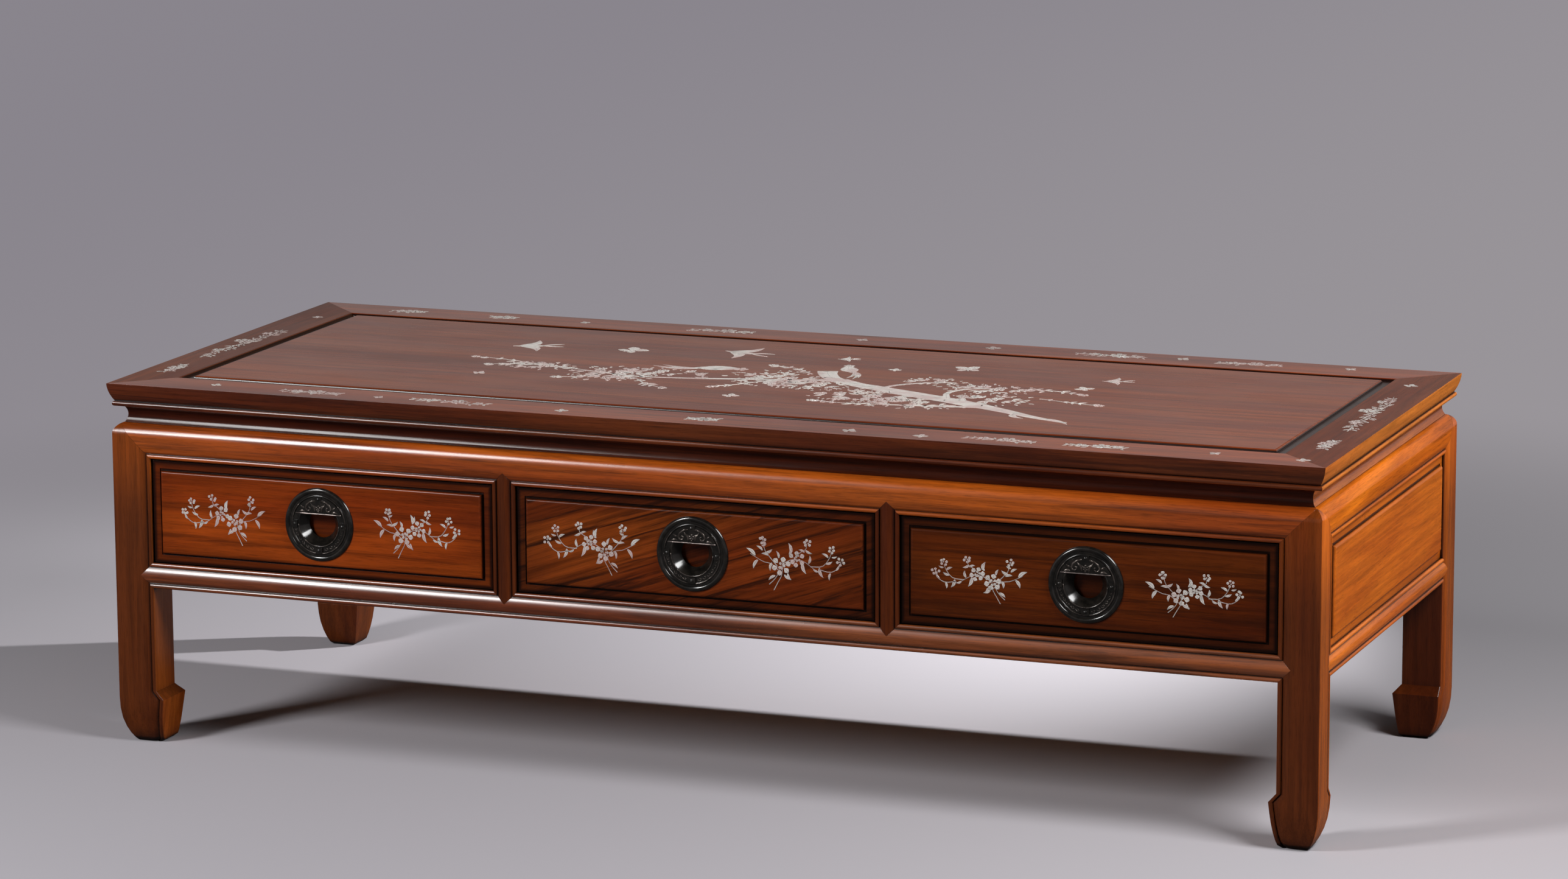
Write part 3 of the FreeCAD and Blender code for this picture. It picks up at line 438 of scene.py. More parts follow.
# %% Sort the pieces by grain
FIELD_RIM_M = 0.0125
JOINT_HALF_LENGTH_M = 0.6290
JOINT_HALF_DEPTH_M = 0.2215
TOP_JOINT = (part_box("top_frame_front")[1].z, JOINT_HALF_LENGTH_M, JOINT_HALF_DEPTH_M)


def drawer_field(bay):
    """The middle, half width, height, half height and face of a drawer front's raised field, in metres."""
    low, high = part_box(f"drawer_front_{bay}")
    half_width = (high.x - low.x) / 2 - FIELD_RIM_M
    half_height = (high.z - low.z) / 2 - FIELD_RIM_M
    return (low.x + high.x) / 2, half_width, (low.z + high.z) / 2, half_height, low.y


# Painted light: the turned factors make the long frame's tops lighter, the side frame's tops darker than its
# end faces, and the legs' end faces lighter.
finishes = {
    "top": rosewood("top", "x", (0.175, 0.033, 0.008), 0.25, 0.26, 0.45, shade=0.2, shift=7.7,
                    joint=TOP_JOINT),
    "frame_x": rosewood("frame_along", "x", (0.088, 0.017, 0.004), 0.45, 0.22, 0.4, shift=0.4,
                        joint=TOP_JOINT, turned=("Z", (2.2, 1.9, 1.6))),
    "frame_y": rosewood("frame_across", "y", (0.440, 0.120, 0.018), 0.2, 0.26, 0.08, shift=3.1,
                        joint=TOP_JOINT, turned=("Z", (0.26, 0.19, 0.30)), ior=1.42),
    "waist_x": rosewood("waist_along", "x", (0.048, 0.008, 0.002), 0.5, 0.15, 0.15, shade=0.7, shift=6.1),
    "waist_y": rosewood("waist_across", "y", (0.36, 0.085, 0.012), 0.4, 0.20, 0.35, shade=0.6, shift=2.7),
    "apron_x": rosewood("apron_along", "x", (0.246, 0.045, 0.0040), 0.45, 0.215, 0.5, shift=1.2),
    "apron_y": rosewood("apron_across", "y", (0.50, 0.112, 0.005), 0.25, 0.24, 0.12, shift=4.4),
    "leg": rosewood("leg", "z", (0.072, 0.0145, 0.003), 0.2, 0.20, 0.3, shift=5.3,
                    turned=("X", (3.2, 3.4, 2.2)), upper=(0.24, 0.345, (2.0, 1.9, 1.1))),
    "divider": rosewood("divider", "z", (0.074, 0.014, 0.0026), 0.3, 0.20, 0.25, shade=0.95, shift=8.3),
    "rail_x": rosewood("rail_along", "x", (0.150, 0.032, 0.006), 0.5, 0.25, 0.85, shade=0.7, shift=9.9),
    "rail_y": rosewood("rail_across", "y", (0.46, 0.105, 0.012), 0.2, 0.22, 0.25, shift=0.9),
    "panel_x": rosewood("panel_along", "x", (0.18, 0.034, 0.005), 0.4, 0.24, 0.25, shift=1.9),
    "panel_y": rosewood("panel_across", "y", (0.40, 0.085, 0.006), 0.15, 0.28, 0.2, shift=9.4),
    "raw_x": drawer_wood("raw_wood_along", "x"),
    "raw_y": drawer_wood("raw_wood_across", "y"),
    "metal": cast_metal("pull_metal", (0.0042, 0.0036, 0.0030), (0.013, 0.0105, 0.0085), 0.0, 0.12, 0.20),
    "worn": cast_metal("pull_metal_worn", (0.050, 0.040, 0.034), (0.12, 0.10, 0.088), 0.7, 0.20, 0.32),
    "rubbed": cast_metal("pull_metal_rubbed", (0.16, 0.13, 0.12), (0.34, 0.28, 0.26), 0.9, 0.26, 0.40),
    "pearl": mother_of_pearl("pearl_of_the_drawers", 0.86),
    "pearl_top": mother_of_pearl("pearl_of_the_top", 1.22),
}
for bay, tone, streak, slant, shift in (
    ("left", (0.205, 0.031, 0.0028), 0.4, 0.0, 2.3),
    ("middle", (0.138, 0.0245, 0.0032), 0.9, 0.33, 4.6),
    ("right", (0.080, 0.0136, 0.0017), 0.5, 0.0, 8.8),
):
    finishes[f"drawer_{bay}"] = rosewood(f"drawer_{bay}", "x", tone, streak, 0.22, 0.14, slant=slant,
                                         shift=shift, alone=True, field=drawer_field(bay))
FAMILIES = {"top": "frame", "waist": "waist", "apron": "apron", "rail": "rail", "panel": "panel"}


def finish_of(name):
    """The finish of a piece of joinery, from its name."""
    if name.startswith("pull"):
        return "metal"
    if name.startswith(("runner", "drawer_side", "drawer_stops", "batten")):
        return "raw_y"
    if name.startswith(("drawer_back", "drawer_bottom")):
        return "raw_x"
    if name.startswith("drawer_front"):
        return name.replace("_front", "")
    if name.startswith(("leg", "divider")):
        return name.split("_")[0]
    if name == "top_panel":
        return "top"
    sideways = name.endswith(("_left", "_right")) and not name.startswith("panel_back")
    return FAMILIES[name.split("_")[0]] + ("_y" if sideways else "_x")


for name, piece in nodes.items():
    piece.data.materials.clear()
    piece.data.materials.append(finishes[finish_of(name)])
print("finishes in use:", sorted({finish_of(name) for name in nodes}))

# %% [markdown]
# # Soft arrises
# No hand-finished edge is perfectly sharp: sandpaper and lacquer leave a narrow round that catches the
# light as a thin line. The solids have knife edges, so each visible piece is copied, its loose triangles
# merged back into faces, and a Bevel modifier rounds every sharp edge by a third of a millimetre.
# A Weighted Normal modifier then lets the largest faces set the shading, so that they look flat.

# %% Ease the edges
ARRIS_M = 0.00035
SAME_POINT_M = 0.000005
FLAT_ANGLE = math.radians(0.6)
SHARP_ANGLE = math.radians(32)


def eased(name):
    """A copy of a piece whose sharp edges are rounded, standing for the solid."""
    source = nodes[name]
    shape = bmesh.new()
    shape.from_mesh(source.data)
    bmesh.ops.remove_doubles(shape, verts=shape.verts, dist=SAME_POINT_M)
    bmesh.ops.dissolve_limit(shape, angle_limit=FLAT_ANGLE, verts=shape.verts, edges=shape.edges)
    mesh = bpy.data.meshes.new(f"{name}_eased")
    shape.to_mesh(mesh)
    shape.free()
    mesh.materials.clear()
    mesh.materials.append(finishes[finish_of(name)])
    mesh.shade_smooth()
    piece = bpy.data.objects.new(f"{name}_eased", mesh)
    bpy.context.scene.collection.objects.link(piece)
    arris = piece.modifiers.new("arris", "BEVEL")
    arris.width = ARRIS_M
    arris.segments = 2
    arris.limit_method = "ANGLE"
    arris.angle_limit = SHARP_ANGLE
    arris.harden_normals = True
    flats = piece.modifiers.new("flat_faces", "WEIGHTED_NORMAL")
    flats.mode = "FACE_AREA"
    flats.weight = 100
    flats.keep_sharp = True
    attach(piece, source["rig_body"])
    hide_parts(name)
    return piece


EASED_STARTS = ("top", "waist", "leg", "apron", "rail", "divider", "panel", "drawer_front", "pull_")
eased_pieces = [eased(name) for name in sorted(nodes) if name.startswith(EASED_STARTS)]
print("pieces with eased edges:", len(eased_pieces))

# %% [markdown]
# # Leaves, petals and stems as one shape
# Every sprig in the inlay is cut from small pieces: petals, leaves, wings and stems. Each could be drawn
# as a curve and filled, but all of them are one thing, a thin strip along a bent line, wide in the
# middle or narrowing to the tip, so a single function makes them all. The lines and their widths are
# stacked into arrays and worked out together.

# %% Strips along bent lines
STATIONS = 9
LIFTS = 9
FLAT_SECTION = ((1.0, 0.0), (0.88, 1.0), (-0.88, 1.0), (-1.0, 0.0), (-0.88, -1.0), (0.88, -1.0))
ROUND_SECTION = tuple((math.cos(a), math.sin(a)) for a in np.linspace(0, 2 * math.pi, 9)[:-1])


def bend(points):
    """A smooth line through points: their Catmull-Rom curve, read at even steps."""
    points = np.asarray(points, float)
    ends = np.vstack([2 * points[0] - points[1], points, 2 * points[-1] - points[-2]])
    step = np.linspace(0, len(points) - 1 - 1e-9, STATIONS)
    first = step.astype(int)
    t = (step - first)[:, None]
    a, b, c, d = (ends[first + k] for k in range(4))
    return 0.5 * (2 * b + (c - a) * t + (2 * a - 5 * b + 4 * c - d) * t**2 + (3 * b - a - 3 * c + d) * t**3)


def petal(root, tip, width, lean=0.0, fullness=0.75):
    """A line from root to tip that leans aside, as wide as width times sin(pi s**fullness)."""
    root, tip = np.asarray(root, float), np.asarray(tip, float)
    side = np.array([root[1] - tip[1], tip[0] - root[0]])
    s = np.linspace(0, 1, STATIONS)
    line = root + (tip - root) * s[:, None] + side * (lean * np.sin(math.pi * s))[:, None]
    return line, width / 2 * np.maximum(np.sin(math.pi * s**fullness), 0.06)


def stem(points, thick, thin):
    """A bent line whose width falls evenly from thick to thin."""
    return bend(points), np.linspace(thick / 2, thin / 2, STATIONS)


def strips(name, pieces, axes, rise_mm, section, material, smooth):
    """One mesh of closed strips: each point is line + width across * left normal + rise * plane normal.

    Strips take turns at a few rises, so that one lies on top where two cross. The chart's u is the length
    run along the line and v is 0.5 + the distance from it, in centimetres.
    """
    origin, east, north, out = (np.asarray(axis, float) for axis in axes)
    lines = np.stack([line for line, width in pieces])
    widths = np.stack([width for line, width in pieces])
    ahead = np.gradient(lines, axis=1)
    ahead /= np.linalg.norm(ahead, axis=2, keepdims=True) + 1e-12
    left = np.stack([-ahead[..., 1], ahead[..., 0]], axis=-1)
    profile = np.array(section)
    flat = lines[:, :, None, :] + left[:, :, None, :] * (widths[..., None] * profile[:, 0])[..., None]
    lift = rise_mm * (1 + 0.05 * (np.arange(len(pieces)) % LIFTS))
    rise = np.broadcast_to(lift[:, None, None] * profile[:, 1], flat.shape[:3])
    placed = flat[..., :1] * east + flat[..., 1:] * north + rise[..., None] * out
    points = (origin + placed / 1000).reshape(-1, 3)

    many, stations, around = flat.shape[:3]
    index = np.arange(many * stations * around).reshape(many, stations, around)
    after = np.roll(index, -1, axis=2)
    sides = np.stack([index[:, :-1], after[:, :-1], after[:, 1:], index[:, 1:]], axis=-1).reshape(-1, 4)
    faces = sides.tolist() + index[:, 0, ::-1].tolist() + index[:, -1].tolist()
    mesh = bpy.data.meshes.new(name)
    mesh.from_pydata(points.tolist(), [], faces)
    run = np.linalg.norm(np.diff(lines, axis=1, prepend=lines[:, :1]), axis=2).cumsum(axis=1) / 10
    along = np.broadcast_to(run[:, :, None], index.shape)
    across = 0.5 + widths[..., None] * profile[:, 0] / 10
    corner = np.empty(len(mesh.loops), np.int32)
    mesh.loops.foreach_get("vertex_index", corner)
    chart = np.stack([along.ravel(), across.ravel()], axis=1)[corner]
    mesh.uv_layers.new(name="leaf").data.foreach_set("uv", chart.ravel().astype(np.float32))
    mesh.materials.append(material)
    if smooth:
        mesh.shade_smooth()
    made = bpy.data.objects.new(name, mesh)
    bpy.context.scene.collection.objects.link(made)
    return made


print("strip maker ready")

# %% [markdown]
# # Blossoms, leaves, butterflies and birds
# The old patterns are built from few motifs that are repeated with small changes. Each motif is a
# function that returns strips in millimetres on a flat sheet, so that the same blossom can lie on a
# drawer or on the top. The changes come from one seeded draw, which gives the same table every time.

# %% The motifs
def polar(centre, radius, angle):
    """The point at a radius and an angle in degrees from a centre."""
    turned = math.radians(angle)
    return (centre[0] + radius * math.cos(turned), centre[1] + radius * math.sin(turned))


def blossom(centre, radius, turn=90.0):
    """Five petals spread evenly round a centre, and a small eye."""
    cut = [petal(polar(centre, radius * 0.20, turn + k * 72), polar(centre, radius, turn + k * 72),
                 radius * 0.76, fullness=1.35) for k in range(5)]
    eye = petal(polar(centre, radius * 0.2, 180), polar(centre, radius * 0.2, 0), radius * 0.4, fullness=1.0)
    return cut + [eye]


def full_blossom(centre, radius, turn):
    """A double blossom: six broad outer petals, and a small blossom turned between them."""
    outer = [petal(polar(centre, radius * 0.40, turn + k * 60), polar(centre, radius * 1.06, turn + k * 60),
                   radius * 0.70, fullness=1.25) for k in range(6)]
    return outer + blossom(centre, radius * 0.46, turn + 20)


def leaf(root, angle, length, lean=0.12):
    """A pointed leaf that starts at a root and leans a little."""
    return [petal(root, polar(root, length, angle), length * 0.36, lean, 0.80)]


def butterfly(centre, span, turn):
    """Two large and two small wings, a body and two feelers."""
    cut = [petal(centre, polar(centre, span * 0.56, turn + side * 42), span * 0.36, side * -0.1, 1.3)
           for side in (-1, 1)]
    cut += [petal(centre, polar(centre, span * 0.38, turn + side * 118), span * 0.26, 0.0, 1.2)
            for side in (-1, 1)]
    tail, head = polar(centre, span * 0.26, turn + 180), polar(centre, span * 0.22, turn)
    cut.append(petal(tail, head, span * 0.10, 0, 0.9))
    for side in (-1, 1):
        feeler = [polar(centre, span * reach, turn + side * aside)
                  for reach, aside in ((0.2, 0), (0.4, 12), (0.5, 26))]
        cut.append(stem(feeler, span * 0.025, span * 0.015))
    return cut


def flying_bird(centre, span, turn):
    """A body, two swept wings and a forked tail."""
    chest = polar(centre, span * 0.20, turn)
    rump, beak = polar(centre, span * 0.26, turn + 180), polar(centre, span * 0.30, turn)
    cut = [petal(rump, beak, span * 0.15, 0.05, 0.7)]
    cut += [petal(chest, polar(centre, span * 0.52, turn + side * 104), span * 0.20, side * 0.22, 0.72)
            for side in (-1, 1)]
    cut += [petal(polar(centre, span * 0.20, turn + 180), polar(centre, span * 0.58, turn + 180 + side * 11),
                  span * 0.06, side * 0.08) for side in (-1, 1)]
    return cut


def perched_bird(centre, span, turn):
    """A plump body with a head, a folded wing and a long tail in three feathers."""
    head = polar(centre, span * 0.34, turn)
    rump, neck = polar(centre, span * 0.24, turn + 180), polar(centre, span * 0.36, turn)
    shoulder, wing_tip = polar(centre, span * 0.16, turn + 20), polar(centre, span * 0.42, turn + 190)
    cut = [petal(rump, neck, span * 0.30, 0.08, 0.8)]
    cut += blossom(head, span * 0.10, turn)
    cut.append(petal(shoulder, wing_tip, span * 0.15, -0.1))
    cut += [petal(polar(centre, span * 0.18, turn + 180), polar(centre, span * (0.86 - 0.1 * abs(k)),
                  turn + 172 + 7 * k), span * 0.07, 0.10) for k in (-1, 0, 1)]
    return cut


print("motifs ready")

# %% [markdown]
# # A sprig for each side of every pull
# Each drawer front carries two sprigs that mirror each other about the pull: a forked stalk at the foot,
# two open blossoms above it, and thin stems that curl up to buds on both sides. One layout in
# millimetres is mirrored, and every sprig draws its own small changes.

# %% Inlay of the drawer fronts
draws = np.random.default_rng(19)
PEARL_RISE_MM = 0.14
SPRIG_LEAVES = (
    (41, 9, 38, 12), (38, 6, -62, 11), (30, 12, 150, 9), (33, 15, 35, 8), (27, 10, 10, 8),
    (24, 3, -78, 9), (4, 14, 78, 11), (6, 14, 110, 9), (-11, 19, 205, 8), (-11, 17, 20, 7),
    (-8, 6, -108, 12), (-14, 4, 100, 9), (-19, 0, -160, 7), (-26, 2, -112, 11), (-31, 6, 158, 8),
    (-35, 12, 30, 8), (-36, -2, -80, 8), (-42, 1, 120, 7), (12, -7, -150, 9), (20, -10, -35, 9),
    (8, -6, -115, 8), (-38, 14, 165, 6), (34, 20, 155, 6), (17, 9, 70, 8),
)


def drawer_sprig(mirror):
    """One sprig about its middle, 104 mm wide and 56 mm tall, mirrored where mirror is -1."""
    cut = [
        *(stem(line, 0.95, 0.6) for line in (
            [(22, -24), (18, -16), (14, -8), (13, 2)], [(27, -19), (22, -14), (18, -8), (16, 0)],
            [(15, -6), (24, 2), (33, 4), (46, 11)], [(18, 0), (26, 9), (31, 16), (33, 26)],
            [(12, 3), (2, 8), (-9, 7), (-21, -1)], [(-16, 2), (-28, 3), (-35, 11), (-38, 19)],
            [(-24, -1), (-36, -3), (-44, 2), (-47, 8)], [(0, 9), (-6, 15), (-12, 19), (-13, 25)],
        )),
        *full_blossom((14, 1), 9.5, draws.uniform(0, 45)),
        *full_blossom((-2, 9), 8.2, draws.uniform(0, 45)),
        *blossom((33, 26), 4.6, draws.uniform(0, 72)),
        *blossom((-13, 26), 4.6, draws.uniform(0, 72)),
        *blossom((-38, 21), 4.4, draws.uniform(0, 72)),
        *blossom((-47, 9), 4.6, draws.uniform(0, 72)),
    ]
    for east, north, angle, length in SPRIG_LEAVES:
        cut += leaf((east, north), angle, length)
    return [(line * (mirror, 1) + draws.normal(0, 0.5, 2), width) for line, width in cut]


def shifted(cut, east):
    """Strips moved sideways on their sheet."""
    return [(line + (east, 0), width) for line, width in cut]


SPRIG_REACH_MM = 115.0
SPRIG_HEIGHT_M = 0.2563
SLIMMER = 0.88
for bay, wide, tall in (("left", 1.0, 1.0), ("middle", 1.08, 1.04), ("right", 1.02, 0.88)):
    low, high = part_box(f"drawer_front_{bay}")
    sheet = (((low.x + high.x) / 2, low.y, SPRIG_HEIGHT_M), (1, 0, 0), (0, 0, 1), (0, -1, 0))
    cut = []
    for side in (1, -1):
        cut += shifted(drawer_sprig(side), -side * SPRIG_REACH_MM / wide)
    cut = [(line * (wide, tall), width * SLIMMER) for line, width in cut]
    sprigs = strips(f"inlay_{bay}", cut, sheet, PEARL_RISE_MM, FLAT_SECTION, finishes["pearl"], False)
    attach(sprigs, f"drawer_{bay}")
    print("drawer", bay, "strips of pearl:", len(cut))

# %% [markdown]
# # The flowering branch on the top
# An old trunk comes in from the right, bends over the middle of the panel and runs out into a thin twig
# on the left. Blossom and leaves crowd round it in heaps, and birds and butterflies fly about. The
# heaps are drawn at random inside an oval, so no two are alike, while the trunk's points are listed.

# %% Inlay of the top panel
GOLDEN_ANGLE = 137.5


def in_oval(middle, wide, deep, reach, angle):
    """The point at an angle and a reach in an oval: zero is its middle, one its rim."""
    turned = math.radians(angle)
    return (middle[0] + wide / 2 * reach * math.cos(turned), middle[1] + deep / 2 * reach * math.sin(turned))


def heap(middle, wide, deep, count, size):
    """Blossoms and leaves strewn in an oval round a middle, the larger ones nearer to it."""
    cut = []
    for number in range(count):
        reach = math.sqrt((number + 0.5) / count)
        angle = number * GOLDEN_ANGLE + draws.uniform(-20, 20)
        place = in_oval(middle, wide, deep, reach, angle)
        scale = size * (1.15 - 0.5 * reach) * draws.uniform(0.85, 1.15)
        if number % 3 == 0:
            cut += full_blossom(place, scale * 0.62, draws.uniform(0, 45))
        else:
            for side in (-1, 0, 1):
                cut += leaf(place, angle + side * draws.uniform(30, 75), scale * 1.1, 0.12 * side)
    return cut


def fringe(middle, wide, deep, count):
    """Small leaves scattered round an oval, pointing away from its middle."""
    cut = []
    for number in range(count):
        reach = draws.uniform(0.95, 1.42)
        angle = number * 360 / count + draws.uniform(-9, 9)
        place = in_oval(middle, wide, deep, reach, angle)
        cut += leaf(place, angle + draws.uniform(-50, 50), draws.uniform(4.0, 8.5), 0.1)
    return cut


def twig(points, thick, thin, pairs, size):
    """A bent stem with leaves in pairs along it and a blossom at its tip."""
    line, width = stem(points, thick, thin)
    cut = [(line, width)]
    for number in range(pairs):
        at = 1 + int(round(number * (STATIONS - 3) / max(pairs - 1, 1)))
        ahead = math.degrees(math.atan2(*(line[at + 1] - line[at - 1])[::-1]))
        for side in (-1, 1):
            cut += leaf(line[at], ahead + draws.uniform(30, 65) * side, size * draws.uniform(0.6, 1.1), 0.15)
    return cut + blossom(line[-1], size * 0.5, draws.uniform(0, 72))


branch = [
    stem([(368, -142), (326, -124), (284, -100), (246, -80)], 5, 22),
    stem([(256, -86), (216, -66), (178, -50), (138, -34)], 23, 25),
    stem([(146, -38), (112, -22), (88, -12), (62, 8)], 25, 17),
    stem([(70, -2), (50, 14), (36, 36), (30, 52)], 17, 23),
    stem([(70, 0), (44, 0), (20, -8), (-8, -14)], 12, 7),
    stem([(-2, -13), (-40, -22), (-84, -34), (-130, -44)], 7, 4.5),
    stem([(-126, -43), (-160, -46), (-196, -38), (-226, -30)], 4.6, 3.0),
    stem([(262, -88), (222, -98), (190, -104), (150, -110)], 9, 3),
    stem([(206, -56), (196, -24), (210, 4), (244, 18)], 8, 3),
    stem([(120, -24), (128, -2), (150, 20), (180, 34)], 7, 3),
]
branch += [petal((334, -128), (372, -150), 8, 0.1), petal((300, -112), (318, -134), 8, -0.2)]
for spot, wide, deep, count, size in (
    ((-282, -20), 58, 30, 9, 13), ((-186, -40), 78, 60, 20, 14), ((-150, -16), 56, 36, 8, 12),
    ((-4, -8), 86, 70, 24, 14), ((42, -26), 70, 44, 12, 13), ((118, -70), 100, 56, 22, 14),
    ((176, -92), 96, 44, 16, 13), ((246, -46), 80, 46, 14, 13), ((232, 12), 80, 40, 14, 13),
    ((160, 34), 50, 26, 7, 12),
):
    branch += heap(spot, wide, deep, count, size) + fringe(spot, wide, deep, count * 2)
for points, pairs in (
    ([(-226, -30), (-262, -18), (-300, -8), (-338, 2), (-372, 6)], 8),
    ([(-300, -8), (-318, -22), (-340, -32)], 5),
    ([(-150, -60), (-130, -84), (-104, -100)], 5), ([(-196, -42), (-212, -66), (-240, -78)], 5),
    ([(-8, -16), (-34, -52), (-58, -76)], 6), ([(150, -110), (110, -116), (72, -112)], 6),
    ([(262, 20), (300, 24), (338, 12)], 6), ([(300, -24), (338, -34), (372, -40)], 5),
    ([(20, 30), (-8, 56), (-40, 66)], 6), ([(-84, -36), (-92, -14), (-112, 2)], 5),
):
    branch += twig(points, 2.2, 1.2, pairs, 11)
branch += perched_bird((-92, 26), 84, 12) + perched_bird((52, 70), 66, 118)
for spot, span, turn in (
    ((-341, 88), 66, 200), ((-102, 128), 70, 170), ((23, 128), 30, 200), ((343, 100), 42, 195),
):
    branch += flying_bird(spot, span, turn)
for spot, span, turn in (
    ((-224, 98), 38, 60), ((171, 114), 36, 110), ((326, 44), 24, 75), ((-330, -84), 18, 30),
    ((-20, -118), 22, 50), ((98, 84), 16, 140),
):
    branch += butterfly(spot, span, turn)

panel_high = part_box("top_panel")[1]
panel_sheet = ((0, 0, panel_high.z), (1, 0, 0), (0, 1, 0), (0, 0, 1))
top_inlay = strips("inlay_top_panel", branch, panel_sheet, PEARL_RISE_MM, FLAT_SECTION,
                   finishes["pearl_top"], False)
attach(top_inlay, "carcass")
print("strips of pearl in the panel:", len(branch))

# %% [markdown]
# # Sprigs round the frame
# The flat frame carries small sprigs at uneven distances, with butterflies between them. One function
# lays a sprig along a member: a bent stem, three blossoms and leaves, as long as the place allows.

# %% Inlay of the top frame
def border_sprig(middle, length, turn):
    """A sprig that lies along a member of the frame, about its middle."""
    cut = [stem([polar(polar(middle, length * share, turn), aside, turn + 90) for share, aside in
                 ((-0.5, 1), (-0.2, 4), (0, 0), (0.27, -4), (0.5, 2))], 1.3, 0.8)]
    for share in np.linspace(-0.45, 0.45, max(int(length / 7), 4)):
        spot = polar(polar(middle, length * share, turn), draws.uniform(-4, 4), turn + 90)
        for side in (-1, 1):
            heading = turn + (180 if share < 0 else 0) + side * draws.uniform(30, 75)
            cut += leaf(spot, heading, draws.uniform(6, 10), 0.14 * side)
    cut += full_blossom(polar(middle, length * 0.10, turn + 30), 9.5, draws.uniform(0, 45))
    cut += blossom(polar(middle, length * 0.24, turn + 172), 7.0, draws.uniform(0, 72))
    cut += blossom(polar(middle, length * 0.36, turn + 6), 6.0, draws.uniform(0, 72))
    return cut


FRONT_ROW, BACK_ROW, SIDE_ROW = -250, 250, 655
border = []
for place, row, length in (
    (-452, FRONT_ROW, 72), (-288, FRONT_ROW, 92), (332, FRONT_ROW, 78), (434, FRONT_ROW, 66),
    (2, FRONT_ROW, 34), (-174, BACK_ROW, 76), (292, BACK_ROW, 84), (-568, BACK_ROW, 40),
    (452, BACK_ROW, 74), (-447, BACK_ROW, 30),
):
    border += border_sprig((place, row), length, draws.uniform(-4, 4))
for place, row, length in (
    (-6, -SIDE_ROW, 190), (-170, -SIDE_ROW, 50), (14, SIDE_ROW, 200), (-160, SIDE_ROW, 46),
):
    border += border_sprig((row, place), length, 90 + draws.uniform(-3, 3))
for spot, turn in (
    ((-569, -246), 40), ((-370, -252), 120), ((-157, -256), 60), ((167, -256), 30), ((560, -245), 100),
    ((-344, 249), 80), ((-2, 249), 120), ((152, 249), 60), ((372, 256), 20), ((566, 256), 110),
    ((-652, 178), 70), ((650, 184), 40), ((652, -248), 60), ((250, -258), 140),
):
    border += butterfly(spot, draws.uniform(13, 20), turn)

frame_sheet = ((0, 0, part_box("top_frame_front")[1].z), (1, 0, 0), (0, 1, 0), (0, 0, 1))
border_inlay = strips("inlay_top_frame", border, frame_sheet, PEARL_RISE_MM, FLAT_SECTION,
                      finishes["pearl"], False)
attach(border_inlay, "carcass")
print("strips of pearl in the frame:", len(border))

# %% [markdown]
# # Relief on the pulls
# The half-moon plate of each pull is cast with two scrolls that face a small flower, and the band below
# it with a row of curls between its ridges. The same strips serve, this time with a round section and
# smooth shading, so that they read as cast metal and not as cut shell.

# %% Cast relief
PLATE_RISE_M = 0.0022
BAND_RISE_M = 0.0012
BAND_RADIUS_MM = 27.7
RIDGE_RISE_M = 0.0021
RIDGE_RADII_MM = (23.8, 31.6)
RIDGE_END_MM = 22


def scroll(side):
    """A long scroll on one side of the plate, curling in at its foot, with leaves beside it."""
    coil = [(4.0, 26.5), (10.5, 24.5), (15.0, 19.5), (14.0, 15.6), (10.2, 15.2), (9.4, 18.0), (11.4, 19.2)]
    cut = [
        stem(coil, 2.2, 1.5),
        petal((16.0, 14.0), (23.5, 13.6), 3.0, 0.1),
        petal((17.0, 17.5), (20.5, 20.5), 2.4),
        petal((4.0, 14.0), (8.2, 21.5), 2.6, 0.2),
        petal((2.6, 20.0), (8.6, 24.0), 2.2, -0.2),
    ]
    return [(line * (side, 1), width) for line, width in cut]


def band_curl(angle):
    """One small curl on the ridged band, about its place round the mouth."""
    spot = polar((0, 0), BAND_RADIUS_MM, angle)
    return [stem([polar(spot, 2.1, angle - 90), polar(spot, 1.5, angle), polar(spot, 2.1, angle + 90),
                  polar(spot, 0.9, angle + 180)], 0.9, 0.5)]


def ring(radius, width):
    """A thin ring of eight arcs round the middle of the pull."""
    return [stem([polar((0, 0), radius, start + step) for step in (0, 15, 30, 45)], width, width)
            for start in range(0, 360, 45)]


casting = scroll(-1) + scroll(1) + blossom((0, 18.2), 3.4) + [petal((0, 13.2), (0, 16.0), 2.6)]
lip = [stem([(-27.0, 11.9), (-9.0, 11.9), (9.0, 11.9), (27.0, 11.9)], 1.3, 1.3)]
rings = [strip for radius in RIDGE_RADII_MM for strip in ring(radius, 0.9)]
halfway = STATIONS // 2
rings = [(line, width) for line, width in rings
         if line[halfway, 1] < 0 or abs(line[halfway, 0]) > RIDGE_END_MM]
band = [strip for angle in np.arange(-168, -10, 12.0) if abs(angle + 90) > 12 for strip in band_curl(angle)]
for bay in ("left", "middle", "right"):
    low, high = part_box(f"drawer_front_{bay}")
    foot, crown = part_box(f"pull_{bay}")
    height = (foot.z + crown.z) / 2
    across = (low.x + high.x) / 2
    # The rings on the ridges, the plate's relief and the band are paler worn metal, the lip paler still:
    # wear, and painted highlight for the thin bright lines along them.
    for part, cut, proud, rise, finish in (
        ("rings", rings, RIDGE_RISE_M, 0.15, "worn"),
        ("plate", casting, PLATE_RISE_M, 0.7, "worn"),
        ("band", band, BAND_RISE_M, 0.5, "worn"),
        ("lip", lip, PLATE_RISE_M, 0.35, "rubbed"),
    ):
        sheet = ((across, low.y - proud, height), (1, 0, 0), (0, 0, 1), (0, -1, 0))
        relief = strips(f"pull_relief_{part}_{bay}", cut, sheet, rise, ROUND_SECTION, finishes[finish], True)
        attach(relief, f"drawer_{bay}")
print("relief cast on three pulls:", len(rings) + len(casting) + len(band) + len(lip), "strips each")

